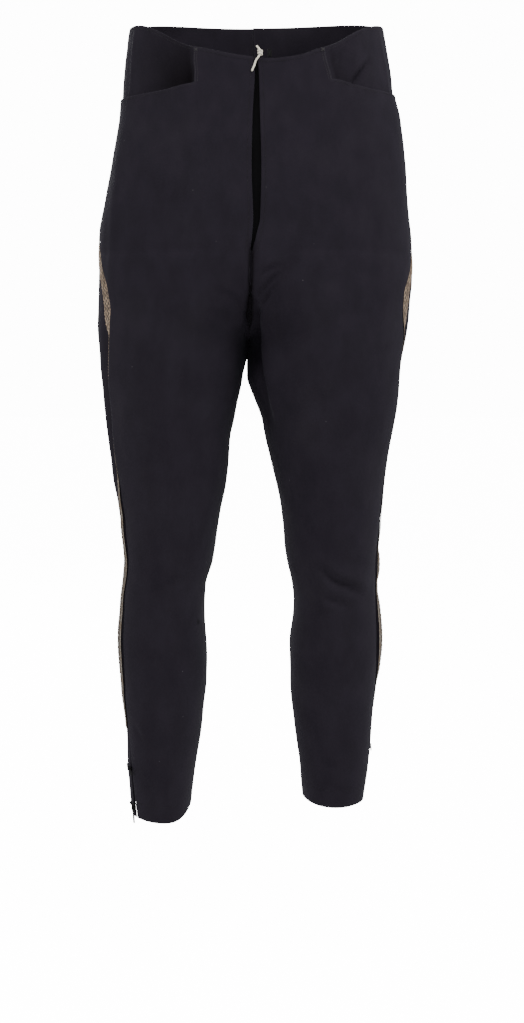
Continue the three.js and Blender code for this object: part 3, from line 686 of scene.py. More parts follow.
def section(side, half, z, steps=110):
    """The horizontal section of one half at each height: a ring about the leg, a superellipse, that the
    middle plane cuts open above the fork. Gives out, y and the length from the side seam."""
    z = np.asarray(z, float)[..., None]
    outer, seam_y, share = read(OUTER, side, z), read(SEAM, side, z), fork_share(z)
    front, back = read(DEPTH, "front", z), read(DEPTH, "back", z)
    bend = 2 / mix(BODY_POWER[half], LEG_POWER, share)
    cut = np.arccos(-share)
    plane = SIGN[side] * read(MIDDLE, "x", z) + SEAM_GAP / 2
    inner = np.where(z > FORK_LOW, plane, np.maximum(read(INNER, side, z), plane + LEG_CLEARANCE))
    if half == "front":
        inner = np.where(z > FLY_CLOSED, read(FLY, side, z), inner)
    half_width = (outer - inner) / (1 + share**bend)
    reach = np.where(seam_y < 0, front, back)
    seam_angle = np.arcsin(np.abs(seam_y / reach) ** (1 / bend)) * np.where(seam_y < 0, 1, -1)
    t = np.linspace(0, 1, steps + 1)
    angle = mix(seam_angle, cut if half == "front" else -cut, t)
    out = outer - half_width * (1 - powered(np.cos(angle), bend))
    y = np.where(angle > 0, front, back) * np.abs(np.sin(angle)) ** bend
    length = np.cumsum(np.hypot(np.diff(out), np.diff(y)), axis=-1)
    return out, y, np.concatenate([np.zeros(z.shape), length], axis=-1)


HEIGHTS = np.arange(-1000, 61, 1.0)
TOTALS = {(s, h): section(s, h, HEIGHTS)[2][:, -1] for s in SIGN for h in ("front", "back")}


def total_length(side, half, z):
    """Length of a section from the side seam to its inner edge."""
    return np.interp(z, HEIGHTS, TOTALS[side, half])


def surface(side, half, z, distance):
    """Points of the form at heights and distances from the side seam, with the soft fold behind it."""
    out, y, length = section(side, half, z)
    wanted = np.clip(distance, 0, length[..., -1])[..., None]
    k = np.clip((length < wanted).sum(-1) - 1, 0, length.shape[-1] - 2)[..., None]
    low, high = (np.take_along_axis(length, k + n, -1) for n in (0, 1))
    t = ((wanted - low) / np.maximum(high - low, 1e-9))[..., 0]
    out = mix(np.take_along_axis(out, k, -1)[..., 0], np.take_along_axis(out, k + 1, -1)[..., 0], t)
    y = mix(np.take_along_axis(y, k, -1)[..., 0], np.take_along_axis(y, k + 1, -1)[..., 0], t)
    if half == "back":
        away = (wanted[..., 0] - FOLD_BEHIND) / FOLD_HALF_WIDTH
        out = out - read(SEAM, "fold", z) * np.exp(-away * away)
    return np.stack([SIGN[side] * out, y, np.broadcast_to(z, out.shape)], -1)


def spread(side, half, z, share):
    """Distance at a share of the section. Through the fork its growth is taken up near the inner end."""
    total, down = total_length(side, half, z), fork_share(z)
    even = mix(total_length(side, half, FORK_START), total_length(side, half, FORK_LOW), down)
    even = np.where((down == 0) | (down == 1), total, even)
    return even * share + (total - even) * share**FORK_CROWDING


def column_distance(side, half, z, column):
    """Distance of a column from the side seam: even columns, but for the lace and the pocket seam."""
    if half == "back":
        rest = share_of((column - LACE_COLUMNS) / (COLUMNS - LACE_COLUMNS))
        beyond = LACE_WIDTH * (1 - rest) + spread(side, half, z, rest)
        return np.where(column <= LACE_COLUMNS, LACE_WIDTH * column / LACE_COLUMNS, beyond)
    total = total_length(side, half, z)
    even = spread(side, half, z, 1 - column / COLUMNS)
    seam = mix(*POCKET_SEAM[side], share_of((POCKET_LEVEL - z) / POCKET_SEAM_RUN))
    beyond = (column - POCKET_SEAM_COLUMN) / (COLUMNS - POCKET_SEAM_COLUMN)
    inside = np.where(column <= 1, UNDERLAP_HALF * column, mix(UNDERLAP_HALF, seam, (column - 1) / 2))
    at_top = np.where(column <= POCKET_SEAM_COLUMN, inside, mix(seam, total, beyond))
    return mix(total - at_top, even, share_of((MOUTH_LEVEL - z) / EVENING_RUN))


def waist_height(side, x, y):
    """Height of the waist edge: a table over the front, and a gentle rise over the back."""
    rise = WAIST_BACK_RISE * np.sin(share_of(y / WAIST_BACK_REACH) * np.pi / 2)
    return np.where(y < 0, read(WAIST[side], "height", np.abs(x)), WAIST[side]["height"][-1] + rise)


def hem_height(side, half, share):
    """Height of the hem from the inner side, over the middle of the half, to the side seam."""
    hem = HEM[side]
    middle = hem["front"] if half == "front" else hem["back"]
    start = np.where(share < 0.5, hem["inner"], middle)
    stop = np.where(share < 0.5, middle, hem["outer"])
    t = np.where(share < 0.5, share * 2, share * 2 - 1)
    return mix(start, stop, (1 - np.cos(t * np.pi)) / 2)


def row_heights(side, half, column):
    """Heights of the main rows over each column, from the waist edge to the hem."""
    level = np.full(column.shape, float(POCKET_LEVEL))
    guide = surface(side, half, level, column_distance(side, half, level, column))
    top = waist_height(side, guide[:, 0], guide[:, 1])
    mouth = np.where(
        guide[:, 1] > 0, MOUTH[side]["height"][-1], read(MOUTH[side], "height", np.abs(guide[:, 0]))
    )
    share = column / COLUMNS if half == "front" else 1 - column / COLUMNS
    rows = [mix(top, mouth, k / TOP_ROWS) for k in range(TOP_ROWS)]
    rows += [mix(mouth, HIP_ROWS[0], k / MOUTH_ROWS) for k in range(MOUTH_ROWS)]
    rows += [np.full(column.shape, float(z)) for z in HIP_ROWS]
    for k in range(FORK_ROWS + 1):
        even = k / FORK_ROWS
        down = mix(even, np.sin(even * np.pi / 2), (1 - share) ** 2)
        rows.append(FORK_START - (FORK_START - FORK_LOW) * down)
    rows += [np.full(column.shape, float(z)) for z in LEG_ROWS]
    hem = hem_height(side, half, share)
    rows += [mix(LAST_FULL_ROW, hem, k / HEM_ROWS) for k in range(HEM_ROWS + 1)]
    return np.array(rows)


ROWS_BEFORE_FORK = TOP_ROWS + MOUTH_ROWS + len(HIP_ROWS)
FORK_ROW = ROWS_BEFORE_FORK + FORK_ROWS
LAST_ROW = FORK_ROW + len(LEG_ROWS) + HEM_ROWS + 1


def graded(last, per_unit, edges, near):
    """Even steps from 0 to last, with extra ones close to the given edges."""
    even = np.linspace(0, last, last * per_unit + 1)
    extra = [e + s * n for e in edges for n in near for s in (-1, 1)]
    values = np.concatenate([even, np.asarray(edges, float), extra])
    values = np.sort(values[(values >= 0) & (values <= last)])
    gap = near[0] * 0.6
    keep = [values[0]]
    fixed = set(float(e) for e in edges)
    for v in values[1:]:
        if v - keep[-1] >= gap:
            keep.append(v)
        elif float(v) in fixed:
            keep[-1] = v
    return np.array(keep)


# Creases: soft troughs and ridges along short lines
# A line's points are (place across, height). Across is x where "by" is "x", as seen from the front or
# the back, and the distance from the side seam where it is "seam". A depth below 0 is a ridge.
CREASES = [
    # (side, half, by, half width, depth, points)
    # left knee: one deep diagonal fold, a shorter one under it and a fine one above
    ("left", "front", "x", 5.2, 6.4, [(80, -648), (97, -663), (112, -669), (136, -682)]),
    ("left", "front", "x", 4.4, 3.2, [(78, -680), (94, -686), (114, -694)]),
    ("left", "front", "x", 4.0, 1.2, [(100, -637), (120, -641), (143, -652)]),
    ("left", "front", "x", 5.0, 1.5, [(64, -640), (78, -648), (90, -652)]),
    ("left", "front", "x", 5.0, 1.4, [(60, -704), (78, -706), (98, -699)]),
    # right knee: shallower
    ("right", "front", "x", 6.0, 1.6, [(-148, -668), (-128, -676), (-104, -672)]),
    ("right", "front", "x", 5.0, 1.3, [(-70, -652), (-88, -664), (-108, -668)]),
    ("right", "front", "x", 4.5, 1.1, [(-118, -700), (-96, -706), (-76, -700)]),
    # crumpled cloth beside the fork
    ("left", "front", "x", 4.0, 3.0, [(0, -352), (13, -330), (24, -310)]),
    ("left", "front", "x", 3.2, 2.4, [(2, -330), (16, -309), (33, -294)]),
    ("left", "front", "x", 3.2, 2.0, [(8, -300), (22, -290), (37, -288)]),
    ("left", "front", "x", 4.5, 2.2, [(4, -372), (22, -356), (40, -348)]),
    # inner side of the left thigh: a deep trough under the fork, and the ridge beside it
    ("left", "front", "x", 5.5, 6.0, [(-5, -352), (1, -392), (9, -430), (19, -480)]),
    ("left", "front", "x", 5.0, 8.0, [(0, -322), (1, -344), (2, -368), (5, -404)]),
    ("right", "front", "x", 4.0, 2.4, [(-8, -322), (-8, -344), (-10, -368), (-13, -394)]),
    ("left", "front", "x", 2.6, -1.5, [(0, -346), (8, -388), (16, -428), (27, -478)]),
    ("right", "front", "x", 5.0, 1.8, [(-12, -366), (-32, -350), (-58, -342)]),
    ("right", "front", "x", 4.0, 1.2, [(-10, -340), (-24, -326), (-44, -318)]),
    # soft pull lines from the fork to the thighs
    ("right", "front", "x", 13.0, 2.2, [(-28, -392), (-60, -374), (-104, -352), (-140, -342)]),
    ("left", "front", "x", 13.0, 2.2, [(20, -396), (52, -376), (96, -350), (138, -338)]),
    ("right", "front", "x", 16.0, 1.4, [(-34, -470), (-70, -440), (-120, -426)]),
    ("left", "front", "x", 15.0, 1.5, [(30, -486), (64, -452), (112, -430)]),
    # small fold beside the right hip, and the one on the left pocket side
    ("left", "front", "x", 2.6, 7.0, [(141, -37), (130, -52), (116, -73)]),
    ("left", "front", "x", 3.2, 1.8, [(112, -26), (105, -34), (99, -46)]),
    ("left", "front", "x", 4.5, 1.4, [(168, -346), (174, -352), (182, -351)]),
    # wrinkles at the right hem
    ("right", "front", "x", 4.0, 1.5, [(-147, -844), (-142, -853), (-137, -862)]),
    ("right", "front", "x", 3.5, 1.4, [(-132, -884), (-123, -890), (-113, -894)]),
    ("right", "front", "x", 3.0, 1.1, [(-133, -913), (-129, -919), (-124, -924)]),
    ("right", "front", "x", 3.0, 1.0, [(-143, -903), (-138, -908), (-133, -909)]),
    ("left", "front", "x", 4.0, 1.3, [(76, -884), (92, -892), (108, -890)]),
    ("left", "front", "x", 3.5, 1.1, [(94, -916), (106, -924), (118, -922)]),
    # raised lines down the pocket sides, and the ridge where the side of the right leg turns
    ("right", "front", "x", 1.9, -0.8, [(-146, 14), (-148, -4), (-151, -44), (-153, -78), (-155, -96)]),
    ("left", "front", "x", 1.9, -0.8, [(153, 14), (157, -10), (162, -44), (166, -74), (170, -96)]),
    ("right", "front", "x", 5.0, -1.3, [
        (-161, -112), (-169, -197), (-172, -262), (-175, -342), (-177, -390),
    ]),
    ("right", "front", "x", 5.0, -1.0, [(-177, -380), (-176, -448), (-169, -514), (-160, -556)]),
    # lace that stands proud of the legs
    ("left", "back", "seam", 8.5, -3.8, [(8, -632), (8, -650), (8, -672)]),
    ("left", "back", "seam", 8.5, -4.2, [(8, -684), (8, -740), (8, -800)]),
    ("right", "back", "seam", 8.5, -2.8, [(8, -672), (8, -740), (8, -830)]),
    ("right", "back", "seam", 8.5, -2.4, [(7, -545), (7, -600), (7, -655)]),
    # back: seat folds
    ("right", "back", "x", 12.0, 3.0, [(-22, -352), (-56, -372), (-100, -376), (-138, -360)]),
    ("left", "back", "x", 12.0, 3.0, [(18, -352), (54, -374), (98, -374), (134, -356)]),
    ("right", "back", "x", 8.0, 1.8, [(-20, -386), (-54, -402), (-92, -402)]),
    ("left", "back", "x", 8.0, 1.7, [(16, -384), (44, -400), (84, -404)]),
    ("right", "back", "x", 6.0, 1.6, [(-10, -300), (-26, -320), (-50, -334)]),
    ("left", "back", "x", 6.0, 1.5, [(4, -296), (22, -318), (44, -334)]),
    ("right", "back", "x", 9.0, 1.4, [(-18, -56), (-60, -66), (-112, -60)]),
    ("left", "back", "x", 9.0, 1.3, [(16, -64), (58, -72), (104, -62)]),
    # back: folds behind the knees
    ("right", "back", "x", 7.0, 3.2, [(-62, -640), (-88, -652), (-120, -650), (-148, -640)]),
    ("right", "back", "x", 6.0, 2.6, [(-68, -672), (-96, -676), (-130, -668)]),
    ("right", "back", "x", 5.5, 2.0, [(-82, -616), (-108, -622), (-142, -612)]),
    ("right", "back", "x", 5.0, 1.6, [(-70, -700), (-98, -706), (-120, -700)]),
    ("left", "back", "x", 7.0, 3.3, [(50, -644), (80, -654), (112, -648), (136, -636)]),
    ("left", "back", "x", 6.0, 2.5, [(58, -674), (88, -682), (122, -676)]),
    ("left", "back", "x", 5.5, 1.9, [(46, -618), (76, -624), (104, -616)]),
    ("left", "back", "x", 5.0, 1.5, [(72, -704), (96, -708), (126, -698)]),
    # back: drag lines on the calves and above the hems
    ("right", "back", "x", 8.0, 1.4, [(-84, -764), (-104, -790), (-130, -802)]),
    ("left", "back", "x", 8.0, 1.3, [(60, -770), (84, -792), (112, -798)]),
    ("right", "back", "x", 4.5, 1.5, [(-92, -880), (-112, -890), (-136, -886)]),
    ("left", "back", "x", 4.5, 1.5, [(72, -872), (92, -884), (116, -882)]),
    ("right", "back", "x", 4.0, 1.2, [(-100, -916), (-120, -922), (-142, -914)]),
    ("left", "back", "x", 4.0, 1.2, [(80, -908), (98, -914), (118, -908)]),
]
LIP_AWAY, LIP_HALF_WIDTH, LIP_SHARE = 1.9, 1.2, 0.32


def crease_relief(side, half, x, seam_distance, z):
    """Sum over the creases of a bell-shaped trough across the line, faded at its ends, with a low lip
    along its upper side."""
    relief = np.zeros_like(z)
    for crease_side, crease_half, by, half_width, depth, points in CREASES:
        if (crease_side, crease_half) != (side, half):
            continue
        across = x if by == "x" else seam_distance
        line = smooth_route(points, 24)
        lengths = lengths_along(line)
        low, high = line.min(0) - 5 * half_width, line.max(0) + 5 * half_width
        near = (across > low[0]) & (across < high[0]) & (z > low[1]) & (z < high[1])
        if not near.any():
            continue
        p = np.stack([across[near], z[near]], -1)[:, None]
        a, b = line[:-1], line[1:]
        along = b - a
        t = np.clip(((p - a) * along).sum(-1) / (along**2).sum(-1), 0, 1)
        away = p - (a + along * t[..., None])
        distance = np.hypot(away[..., 0], away[..., 1])
        k = distance.argmin(1)
        pick = np.arange(len(k))
        side_of_line = np.sign(along[k, 0] * away[pick, k, 1] - along[k, 1] * away[pick, k, 0])
        side_of_line = side_of_line * np.sign(along[k, 0] + 1e-9)
        signed = distance[pick, k] * side_of_line / half_width
        place = (lengths[k] + t[pick, k] * (lengths[k + 1] - lengths[k])) / lengths[-1]
        fade = np.sin(np.pi * np.clip(place, 0.02, 0.98)) ** 0.7
        bell = np.exp(-(signed**2)) - LIP_SHARE * np.exp(-(((signed - LIP_AWAY) / LIP_HALF_WIDTH) ** 2))
        relief[near] -= depth * bell * fade
    return relief


UNEVEN_WAVES, UNEVEN_HEIGHT = 26, 0.0017
uneven_random = np.random.default_rng(11)
UNEVEN_LENGTHS = uneven_random.uniform(22, 130, UNEVEN_WAVES)
UNEVEN_TURNS = unit(uneven_random.normal(size=(UNEVEN_WAVES, 3)))
UNEVEN_PHASES = uneven_random.uniform(0, 2 * np.pi, UNEVEN_WAVES)


def unevenness(points):
    """The lie of worn cloth: a sum of long waves in many directions, each as high as it is long."""
    turns = np.einsum("...k,nk->...n", points, UNEVEN_TURNS) * (2 * np.pi / UNEVEN_LENGTHS)
    return (np.sin(turns + UNEVEN_PHASES) * UNEVEN_LENGTHS * UNEVEN_HEIGHT).sum(-1)


# Panels
PANEL_THICKNESS = 1.9
SEAM_DIP, SEAM_DIP_REACH = 0.75, 1.9
WAIST_EASE, WAIST_LEAST = 14, 0.15
SLIT_REACH = {"front": 17.0, "back": 9.5}
COLUMN_STEPS = graded(COLUMNS, 10, [0, POCKET_SEAM_COLUMN, COLUMNS], [0.075, 0.14, 0.22, 0.34])
ROW_STEPS = graded(LAST_ROW, 6, [0, TOP_ROWS, LAST_ROW], [0.03, 0.06, 0.1, 0.16])


def half_grid(side, half):
    """The fine grid of one panel: points, distance from the side seam and the full length of each section.
    """
    heights = row_heights(side, half, COLUMN_STEPS)
    k = np.clip(ROW_STEPS.astype(int), 0, LAST_ROW - 1)
    z = mix(heights[k], heights[k + 1], (ROW_STEPS - k)[:, None])
    column = np.broadcast_to(COLUMN_STEPS, z.shape)
    distance = column_distance(side, half, z, column)
    total = total_length(side, half, z)
    opening = SEAM_GAP / 2 + share_of((SLIT_TOP - z) / SLIT_EASE) * SLIT_GAPE
    distance = distance + opening * share_of(1 - distance / SLIT_REACH[half])
    below = z <= FORK_LOW + 0.01
    distance = np.where(below, np.minimum(distance, total - SEAM_GAP / 2), distance)
    return surface(side, half, z, distance), distance, total


def outward_normals(side, points, row, column):
    """Directions square to a grid, from the cross product of its two slopes, turned so that the one at
    the given row and column points away from the middle of the body."""
    normals = unit(np.cross(np.gradient(points, axis=0), np.gradient(points, axis=1)))
    return -normals if normals[row, column, 0] * SIGN[side] < 0 else normals


MEET_ABOVE, MEET_FADE = -385, 30
FLY_MEET, FLY_FADE, FLY_LINE, FLY_LINE_END = -258, 16, 2.4, -362
MEET_REACH = np.array([12.0, 4.0, 12.0])
MEET_DIP = {"front": 3.2, "back": -0.75}


def meet_at_middle(side, half, points, dressed, normals, inner):
    """Draws the inner edge to one line on the middle plane above the fork, and less and less below it, so
    that the two halves touch there as worn cloth does. Where the cloth turns in, its thickness is added.
    The fronts leave a dark line open, from the end of the fly almost to the fork."""
    edge = 0 if half == "front" else -1
    goal = points[:, edge].copy()
    z = goal[:, 2]
    turned_in = PANEL_THICKNESS / 2 * np.abs(normals[:, edge, 0])
    gap = SEAM_GAP + FLY_LINE * share_of((z - FLY_LINE_END) / FLY_FADE) * (half == "front")
    goal[:, 0] = read(MIDDLE, "x", z) + SIGN[side] * (gap / 2 - turned_in)
    goal[:, 1] += MEET_DIP[half] * (z > FORK_LOW)
    hold = share_of((z - MEET_ABOVE + MEET_FADE) / MEET_FADE)
    if half == "front":
        hold = hold * share_of((FLY_MEET - z) / FLY_FADE)
    shift = (goal - dressed[:, edge]) * hold[:, None]
    dressed += shift[:, None] * np.exp(-((inner[..., None] / MEET_REACH) ** 2))


KINK_REACH, KINK_TURNS = 24, 16


def soften_fork(dressed):
    """Evens out the level line where the fork ends: points near its height are averaged up and down."""
    share = np.exp(-(((dressed[1:-1, :, 2:] - FORK_LOW) / KINK_REACH) ** 2)) / 2
    for _ in range(KINK_TURNS):
        between = (dressed[:-2] + dressed[2:]) / 2
        dressed[1:-1] = mix(dressed[1:-1], between, share)


def panel_relief(side, half, points, distance, total):
    """Creases and unevenness, fading to nothing at the waist edge, and a dip along each sewn seam."""
    x, z = points[..., 0], points[..., 2]
    relief = crease_relief(side, half, x, distance, z) + unevenness(points)
    relief = relief * share_of((points[:1, :, 2] - z) / WAIST_EASE + WAIST_LEAST)
    seam_side = np.exp(-((distance / SEAM_DIP_REACH) ** 2))
    inner = total - distance
    sewn = (half == "back") | (z < FLY_CLOSED)
    seam_inner = np.exp(-((inner / SEAM_DIP_REACH) ** 2)) * sewn
    return relief - SEAM_DIP * np.maximum(seam_side, seam_inner)


def shell(points, normals, kept, thickness, roundness=0.32):
    """A closed thin wall over the kept cells: an outer face, an inner face, and a middle ring at the
    border. Both faces are drawn in from the border, so the edge is round. Gives points, quads and the
    grid index of each point."""
    rows, columns = points.shape[:2]
    count = rows * columns
    index = np.arange(count).reshape(rows, columns)
    corner = [index[:-1, :-1], index[1:, :-1], index[1:, 1:], index[:-1, 1:]]
    cells = np.stack([c[kept] for c in corner], 1)
    padded = np.pad(kept, 1)
    neighbours = [padded[1:-1, :-2], padded[2:, 1:-1], padded[1:-1, 2:], padded[:-2, 1:-1]]
    flat, inward = points.reshape(-1, 3), np.zeros((count, 3))
    borders = []
    centre = (points[:-1, :-1] + points[1:, :-1] + points[1:, 1:] + points[:-1, 1:]) / 4
    for n, neighbour in enumerate(neighbours):
        border = kept & ~neighbour
        start, stop = corner[n][border], corner[(n + 1) % 4][border]
        borders.append(np.stack([start, stop], 1))
        edge = unit(flat[stop] - flat[start])
        to_centre = centre[border] - (flat[start] + flat[stop]) / 2
        to_centre = unit(to_centre - edge * (to_centre * edge).sum(1)[:, None])
        np.add.at(inward, start, to_centre)
        np.add.at(inward, stop, to_centre)
    borders = np.concatenate(borders)
    inward = unit(inward) * (np.linalg.norm(inward, axis=1, keepdims=True) > 1e-6)
    n = normals.reshape(-1, 3)
    outer = flat + inward * thickness * roundness
    layers = np.concatenate([outer, outer - n * thickness, flat - n * thickness / 2])
    a, b = borders.T
    quads = np.concatenate([
        cells,
        cells[:, ::-1] + count,
        np.stack([b, a, a + 2 * count, b + 2 * count], 1),
        np.stack([b + 2 * count, a + 2 * count, a + count, b + count], 1),
    ])
    used = np.unique(quads)
    place = np.full(3 * count, -1)
    place[used] = np.arange(len(used))
    quads, _ = faces_out(layers[used], place[quads])
    return layers[used], quads, used % count, np.unique(borders)


def edge_mask(points, border, reach):
    """1 at the border, falling off as a bell over the reach. Measured to every other border point."""
    flat = points.reshape(-1, 3)
    marks = flat[border[::2]]
    nearest = np.zeros(len(flat))
    for start in range(0, len(flat), 4000):
        part = flat[start : start + 4000, None] - marks[None]
        nearest[start : start + 4000] = np.sqrt((part**2).sum(-1).min(1))
    return np.exp(-((nearest / reach) ** 2))


def all_cells(points):
    """A mask that keeps every cell of a grid."""
    return np.ones((points.shape[0] - 1, points.shape[1] - 1), bool)


# Small marks on the fronts, as (x, height, half width): a moth hole, and bits of white lint
HOLES = [(-69, -719, 1.3)]
LINT = [(15.5, -306, 0.9), (-114, -544, 0.8)]


def marked(points, marks):
    """1 at each mark on the front, falling off as a bell over its half width."""
    mask = np.zeros(points.shape[:-1])
    for x, z, half_width in marks:
        away = np.hypot(points[..., 0] - x, points[..., 2] - z) / half_width
        mask = np.maximum(mask, np.exp(-(away**4)) * (points[..., 1] < 0))
    return mask.reshape(-1)


def cloth_piece(name, points, normals, kept, thickness, uv, material, slot, edge_reach=2.2, soil_and_painted_shade=None):
    """A shell of cloth as a piece, with its edge mask, its marks and its painted shade."""
    layers, quads, source, border = shell(points, normals, kept, thickness)
    masks = {"edge": edge_mask(points, border, edge_reach)[source]}
    masks["hole"] = marked(points, HOLES)[source]
    masks["lint"] = marked(points, LINT)[source]
    if soil_and_painted_shade is not None:
        masks["soil_and_painted_shade"] = soil_and_painted_shade[source]
    return new_piece(name, layers, quads, material, slot, None, uv.reshape(-1, 2)[source], masks)


def grid_uv(points):
    """Lengths along the middle row and down the middle column as a UV in millimetres."""
    down = np.linalg.norm(np.diff(points, axis=0), axis=-1)
    down = np.concatenate([np.zeros((1, points.shape[1])), np.cumsum(down, 0)])
    over = np.linalg.norm(np.diff(points, axis=1), axis=-1)
    over = np.concatenate([np.zeros((points.shape[0], 1)), np.cumsum(over, 1)], 1)
    middle = points.shape[0] // 3
    across = over - over[:, -1:] / 2 + over[middle, -1] / 2
    return np.stack([across, down], -1)


SURFACES = {}


def build_form(side, half):
    """The dressed surface of one panel: points with their relief, outward directions and distances."""
    points, distance, total = half_grid(side, half)
    row = int(np.searchsorted(ROW_STEPS, ROWS_BEFORE_FORK - 2))
    column = int(np.searchsorted(COLUMN_STEPS, COLUMNS - 1 if half == "front" else 1))
    normals = outward_normals(side, points, row, column)
    relief = panel_relief(side, half, points, distance, total)
    dressed = points + normals * relief[..., None]
    soften_fork(dressed)
    meet_at_middle(side, half, points, dressed, normals, total - distance)
    SURFACES[side, half] = (dressed, grid_smooth(normals), distance, total)


def grid_smooth(normals):
    """Each direction averaged with its neighbours in the grid, twice."""
    for _ in range(2):
        padded = np.pad(normals, ((1, 1), (1, 1), (0, 0)), mode="edge")
        beside = padded[1:-1, :-2] + padded[1:-1, 2:]
        normals = unit(padded[1:-1, 1:-1] * 2 + padded[:-2, 1:-1] + padded[2:, 1:-1] + beside)
    return normals


for side in SIGN:
    for half in ("front", "back"):
        build_form(side, half)

# Painted shade on the fronts below the fly: its strength, its reach across the inner edge and its lowest
# height.
FLY_PAINTED_SHADE, FLY_PAINTED_SHADE_REACH, FLY_PAINTED_SHADE_END = 0.85, 2.4, -388


def fly_painted_shade(points, inner):
    """Painted shade along the inner edge of a front, from the end of the fly to the fork: a bell across the
    line.
    """
    z = points[..., 2]
    along = share_of((FLY_MEET - z) / FLY_FADE) * share_of((z - FLY_PAINTED_SHADE_END) / FLY_FADE)
    return (FLY_PAINTED_SHADE * np.exp(-((inner / FLY_PAINTED_SHADE_REACH) ** 2)) * along).reshape(-1)


def add_panel(side, half):
    """A front or back, without the corner that the pocket mouth cuts from a front."""
    points, normals, distance, total = SURFACES[side, half]
    # The fronts get painted shade along their inner edges below the fly.
    soil_and_painted_shade = fly_painted_shade(points, total - distance) if half == "front" else None
    kept = all_cells(points)
    if half == "front":
        above = ROW_STEPS[:-1] < TOP_ROWS - 1e-6
        beyond = COLUMN_STEPS[:-1] > POCKET_SEAM_COLUMN - 1e-6
        kept = ~(above[:, None] & beyond[None])
    name = f"{half}_panel_{side}"
    piece = cloth_piece(
        name, points, normals, kept, PANEL_THICKNESS, grid_uv(points), CLOTH, "cloth", soil_and_painted_shade=soil_and_painted_shade
    )
    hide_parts(f"{half}_{side}")


POCKET_SINK = {"right": (1, 14, 13, 7.5, 1.8, 0), "left": (0, 4.2, 2.6, 0.6, 0, 0)}
POCKET_SINK_COLUMNS = (2.9, 3.4, 4.4, 5.6, 7, 8)
POCKET_TOP_SINK = 0.25
# Share of the pocket sink that is painted as shade: the sunk hollow is darkened by colour as well as by its
# depth.
POCKET_PAINTED_SHADE = 0.058
POCKET_LAP_COLUMN = 2.6
POCKET_DOWN, POCKET_THICKNESS = 2.3, 1.6


def add_pocket_side(side):
    """The side piece behind the pocket mouth, sunk beside the pocket seam."""
    points, normals, _, _ = SURFACES[side, "front"]
    columns = COLUMN_STEPS >= POCKET_LAP_COLUMN
    rows = ROW_STEPS <= TOP_ROWS + 1
    grid = points[np.ix_(rows, columns)]
    n = normals[np.ix_(rows, columns)]
    across = np.interp(COLUMN_STEPS[columns], POCKET_SINK_COLUMNS, POCKET_SINK[side])
    down = mix(POCKET_TOP_SINK, 1, np.sin(share_of(ROW_STEPS[rows] / TOP_ROWS) * np.pi / 2))
    down = down * share_of((TOP_ROWS + 1 - ROW_STEPS[rows]) / 1.2)
    sink = across[None] * down[:, None]
    low = grid - n * (POCKET_DOWN + sink)[..., None]
    kept = all_cells(low)
    name = f"pocket_panel_{side}"
    # Painted shade in the pocket hollow: the deeper the sink, the darker the cloth.
    soil_and_painted_shade = np.clip(sink * POCKET_PAINTED_SHADE, 0, 0.8).reshape(-1)
    piece = cloth_piece(name, low, n, kept, POCKET_THICKNESS, grid_uv(low), CLOTH, "cloth", soil_and_painted_shade=soil_and_painted_shade)
    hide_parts(f"pocket_side_{side}")


UNDERLAP_DOWN, UNDERLAP_THICKNESS, UNDERLAP_DROP = 2.6, 1.9, 3.0
UNDERLAP_LAST_ROW = ROWS_BEFORE_FORK


def add_underlap():
    """The strip behind the open edges of the fly: the first columns of both fronts, joined and moved in."""
    rows = ROW_STEPS <= UNDERLAP_LAST_ROW
    columns = np.where(COLUMN_STEPS <= 1)[0]
    right, right_n, _, _ = SURFACES["right", "front"]
    left, left_n, _, _ = SURFACES["left", "front"]
    grid = np.concatenate([right[rows][:, columns[::-1]], left[rows][:, columns]], 1)
    n = np.concatenate([right_n[rows][:, columns[::-1]], left_n[rows][:, columns]], 1)
    n = grid_smooth(n)
    low = grid - n * UNDERLAP_DOWN
    low[..., 2] -= UNDERLAP_DROP * share_of(1 - ROW_STEPS[rows])[:, None]
    kept = all_cells(low)
    piece = cloth_piece(
        "underlap_strip", low, n, kept, UNDERLAP_THICKNESS, grid_uv(low), UNDERLAP_PAINTED_SHADE_CLOTH, "underlap_cloth"
    )
    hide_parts("fly_underlap")


for side in SIGN:
    add_panel(side, "front")
    add_panel(side, "back")
    add_pocket_side(side)
add_underlap()


# Lace
LACE_ACROSS, LACE_PITCH = 25, 1.25
LACE_LOW, LACE_THICK = 0.35, 0.95
LACE_REPEAT = 12.4
LACE_SCALLOP, LACE_SCALLOP_PITCH = 1.7, 6.2
LACE_INSET, LACE_LEAST, LACE_RIM = 0.6, 0.3, 0.2
LACE_BASE = 0.35


def lace_ridges(u, s):
    """Height of the weave from 0 to 1: a rope along each edge, and between them two crossing zigzags
    with a small lozenge in each opening."""
    rope = np.exp(-(((np.abs(u) - 0.88) / 0.09) ** 2)) * (0.75 + 0.25 * np.sin(2 * np.pi * s / 1.9))
    inner_rope = np.exp(-(((np.abs(u) - 0.7) / 0.05) ** 2)) * 0.6
    phase = 2 * np.abs((s / LACE_REPEAT) % 1 - 0.5)
    zigzag = (phase * 2 - 1) * 0.58
    cross = np.exp(-(((u - zigzag) / 0.12) ** 2)) + np.exp(-(((u + zigzag) / 0.12) ** 2))
    lozenge = np.exp(-((np.abs(u) + np.abs(2 * ((s / LACE_REPEAT + 0.25) % 0.5) - 0.5) * 2.2) / 0.22) ** 2)
    inside = np.abs(u) < 0.66
    return share_of(np.maximum(np.maximum(rope, inner_rope), np.maximum(cross, lozenge * 0.8) * inside))


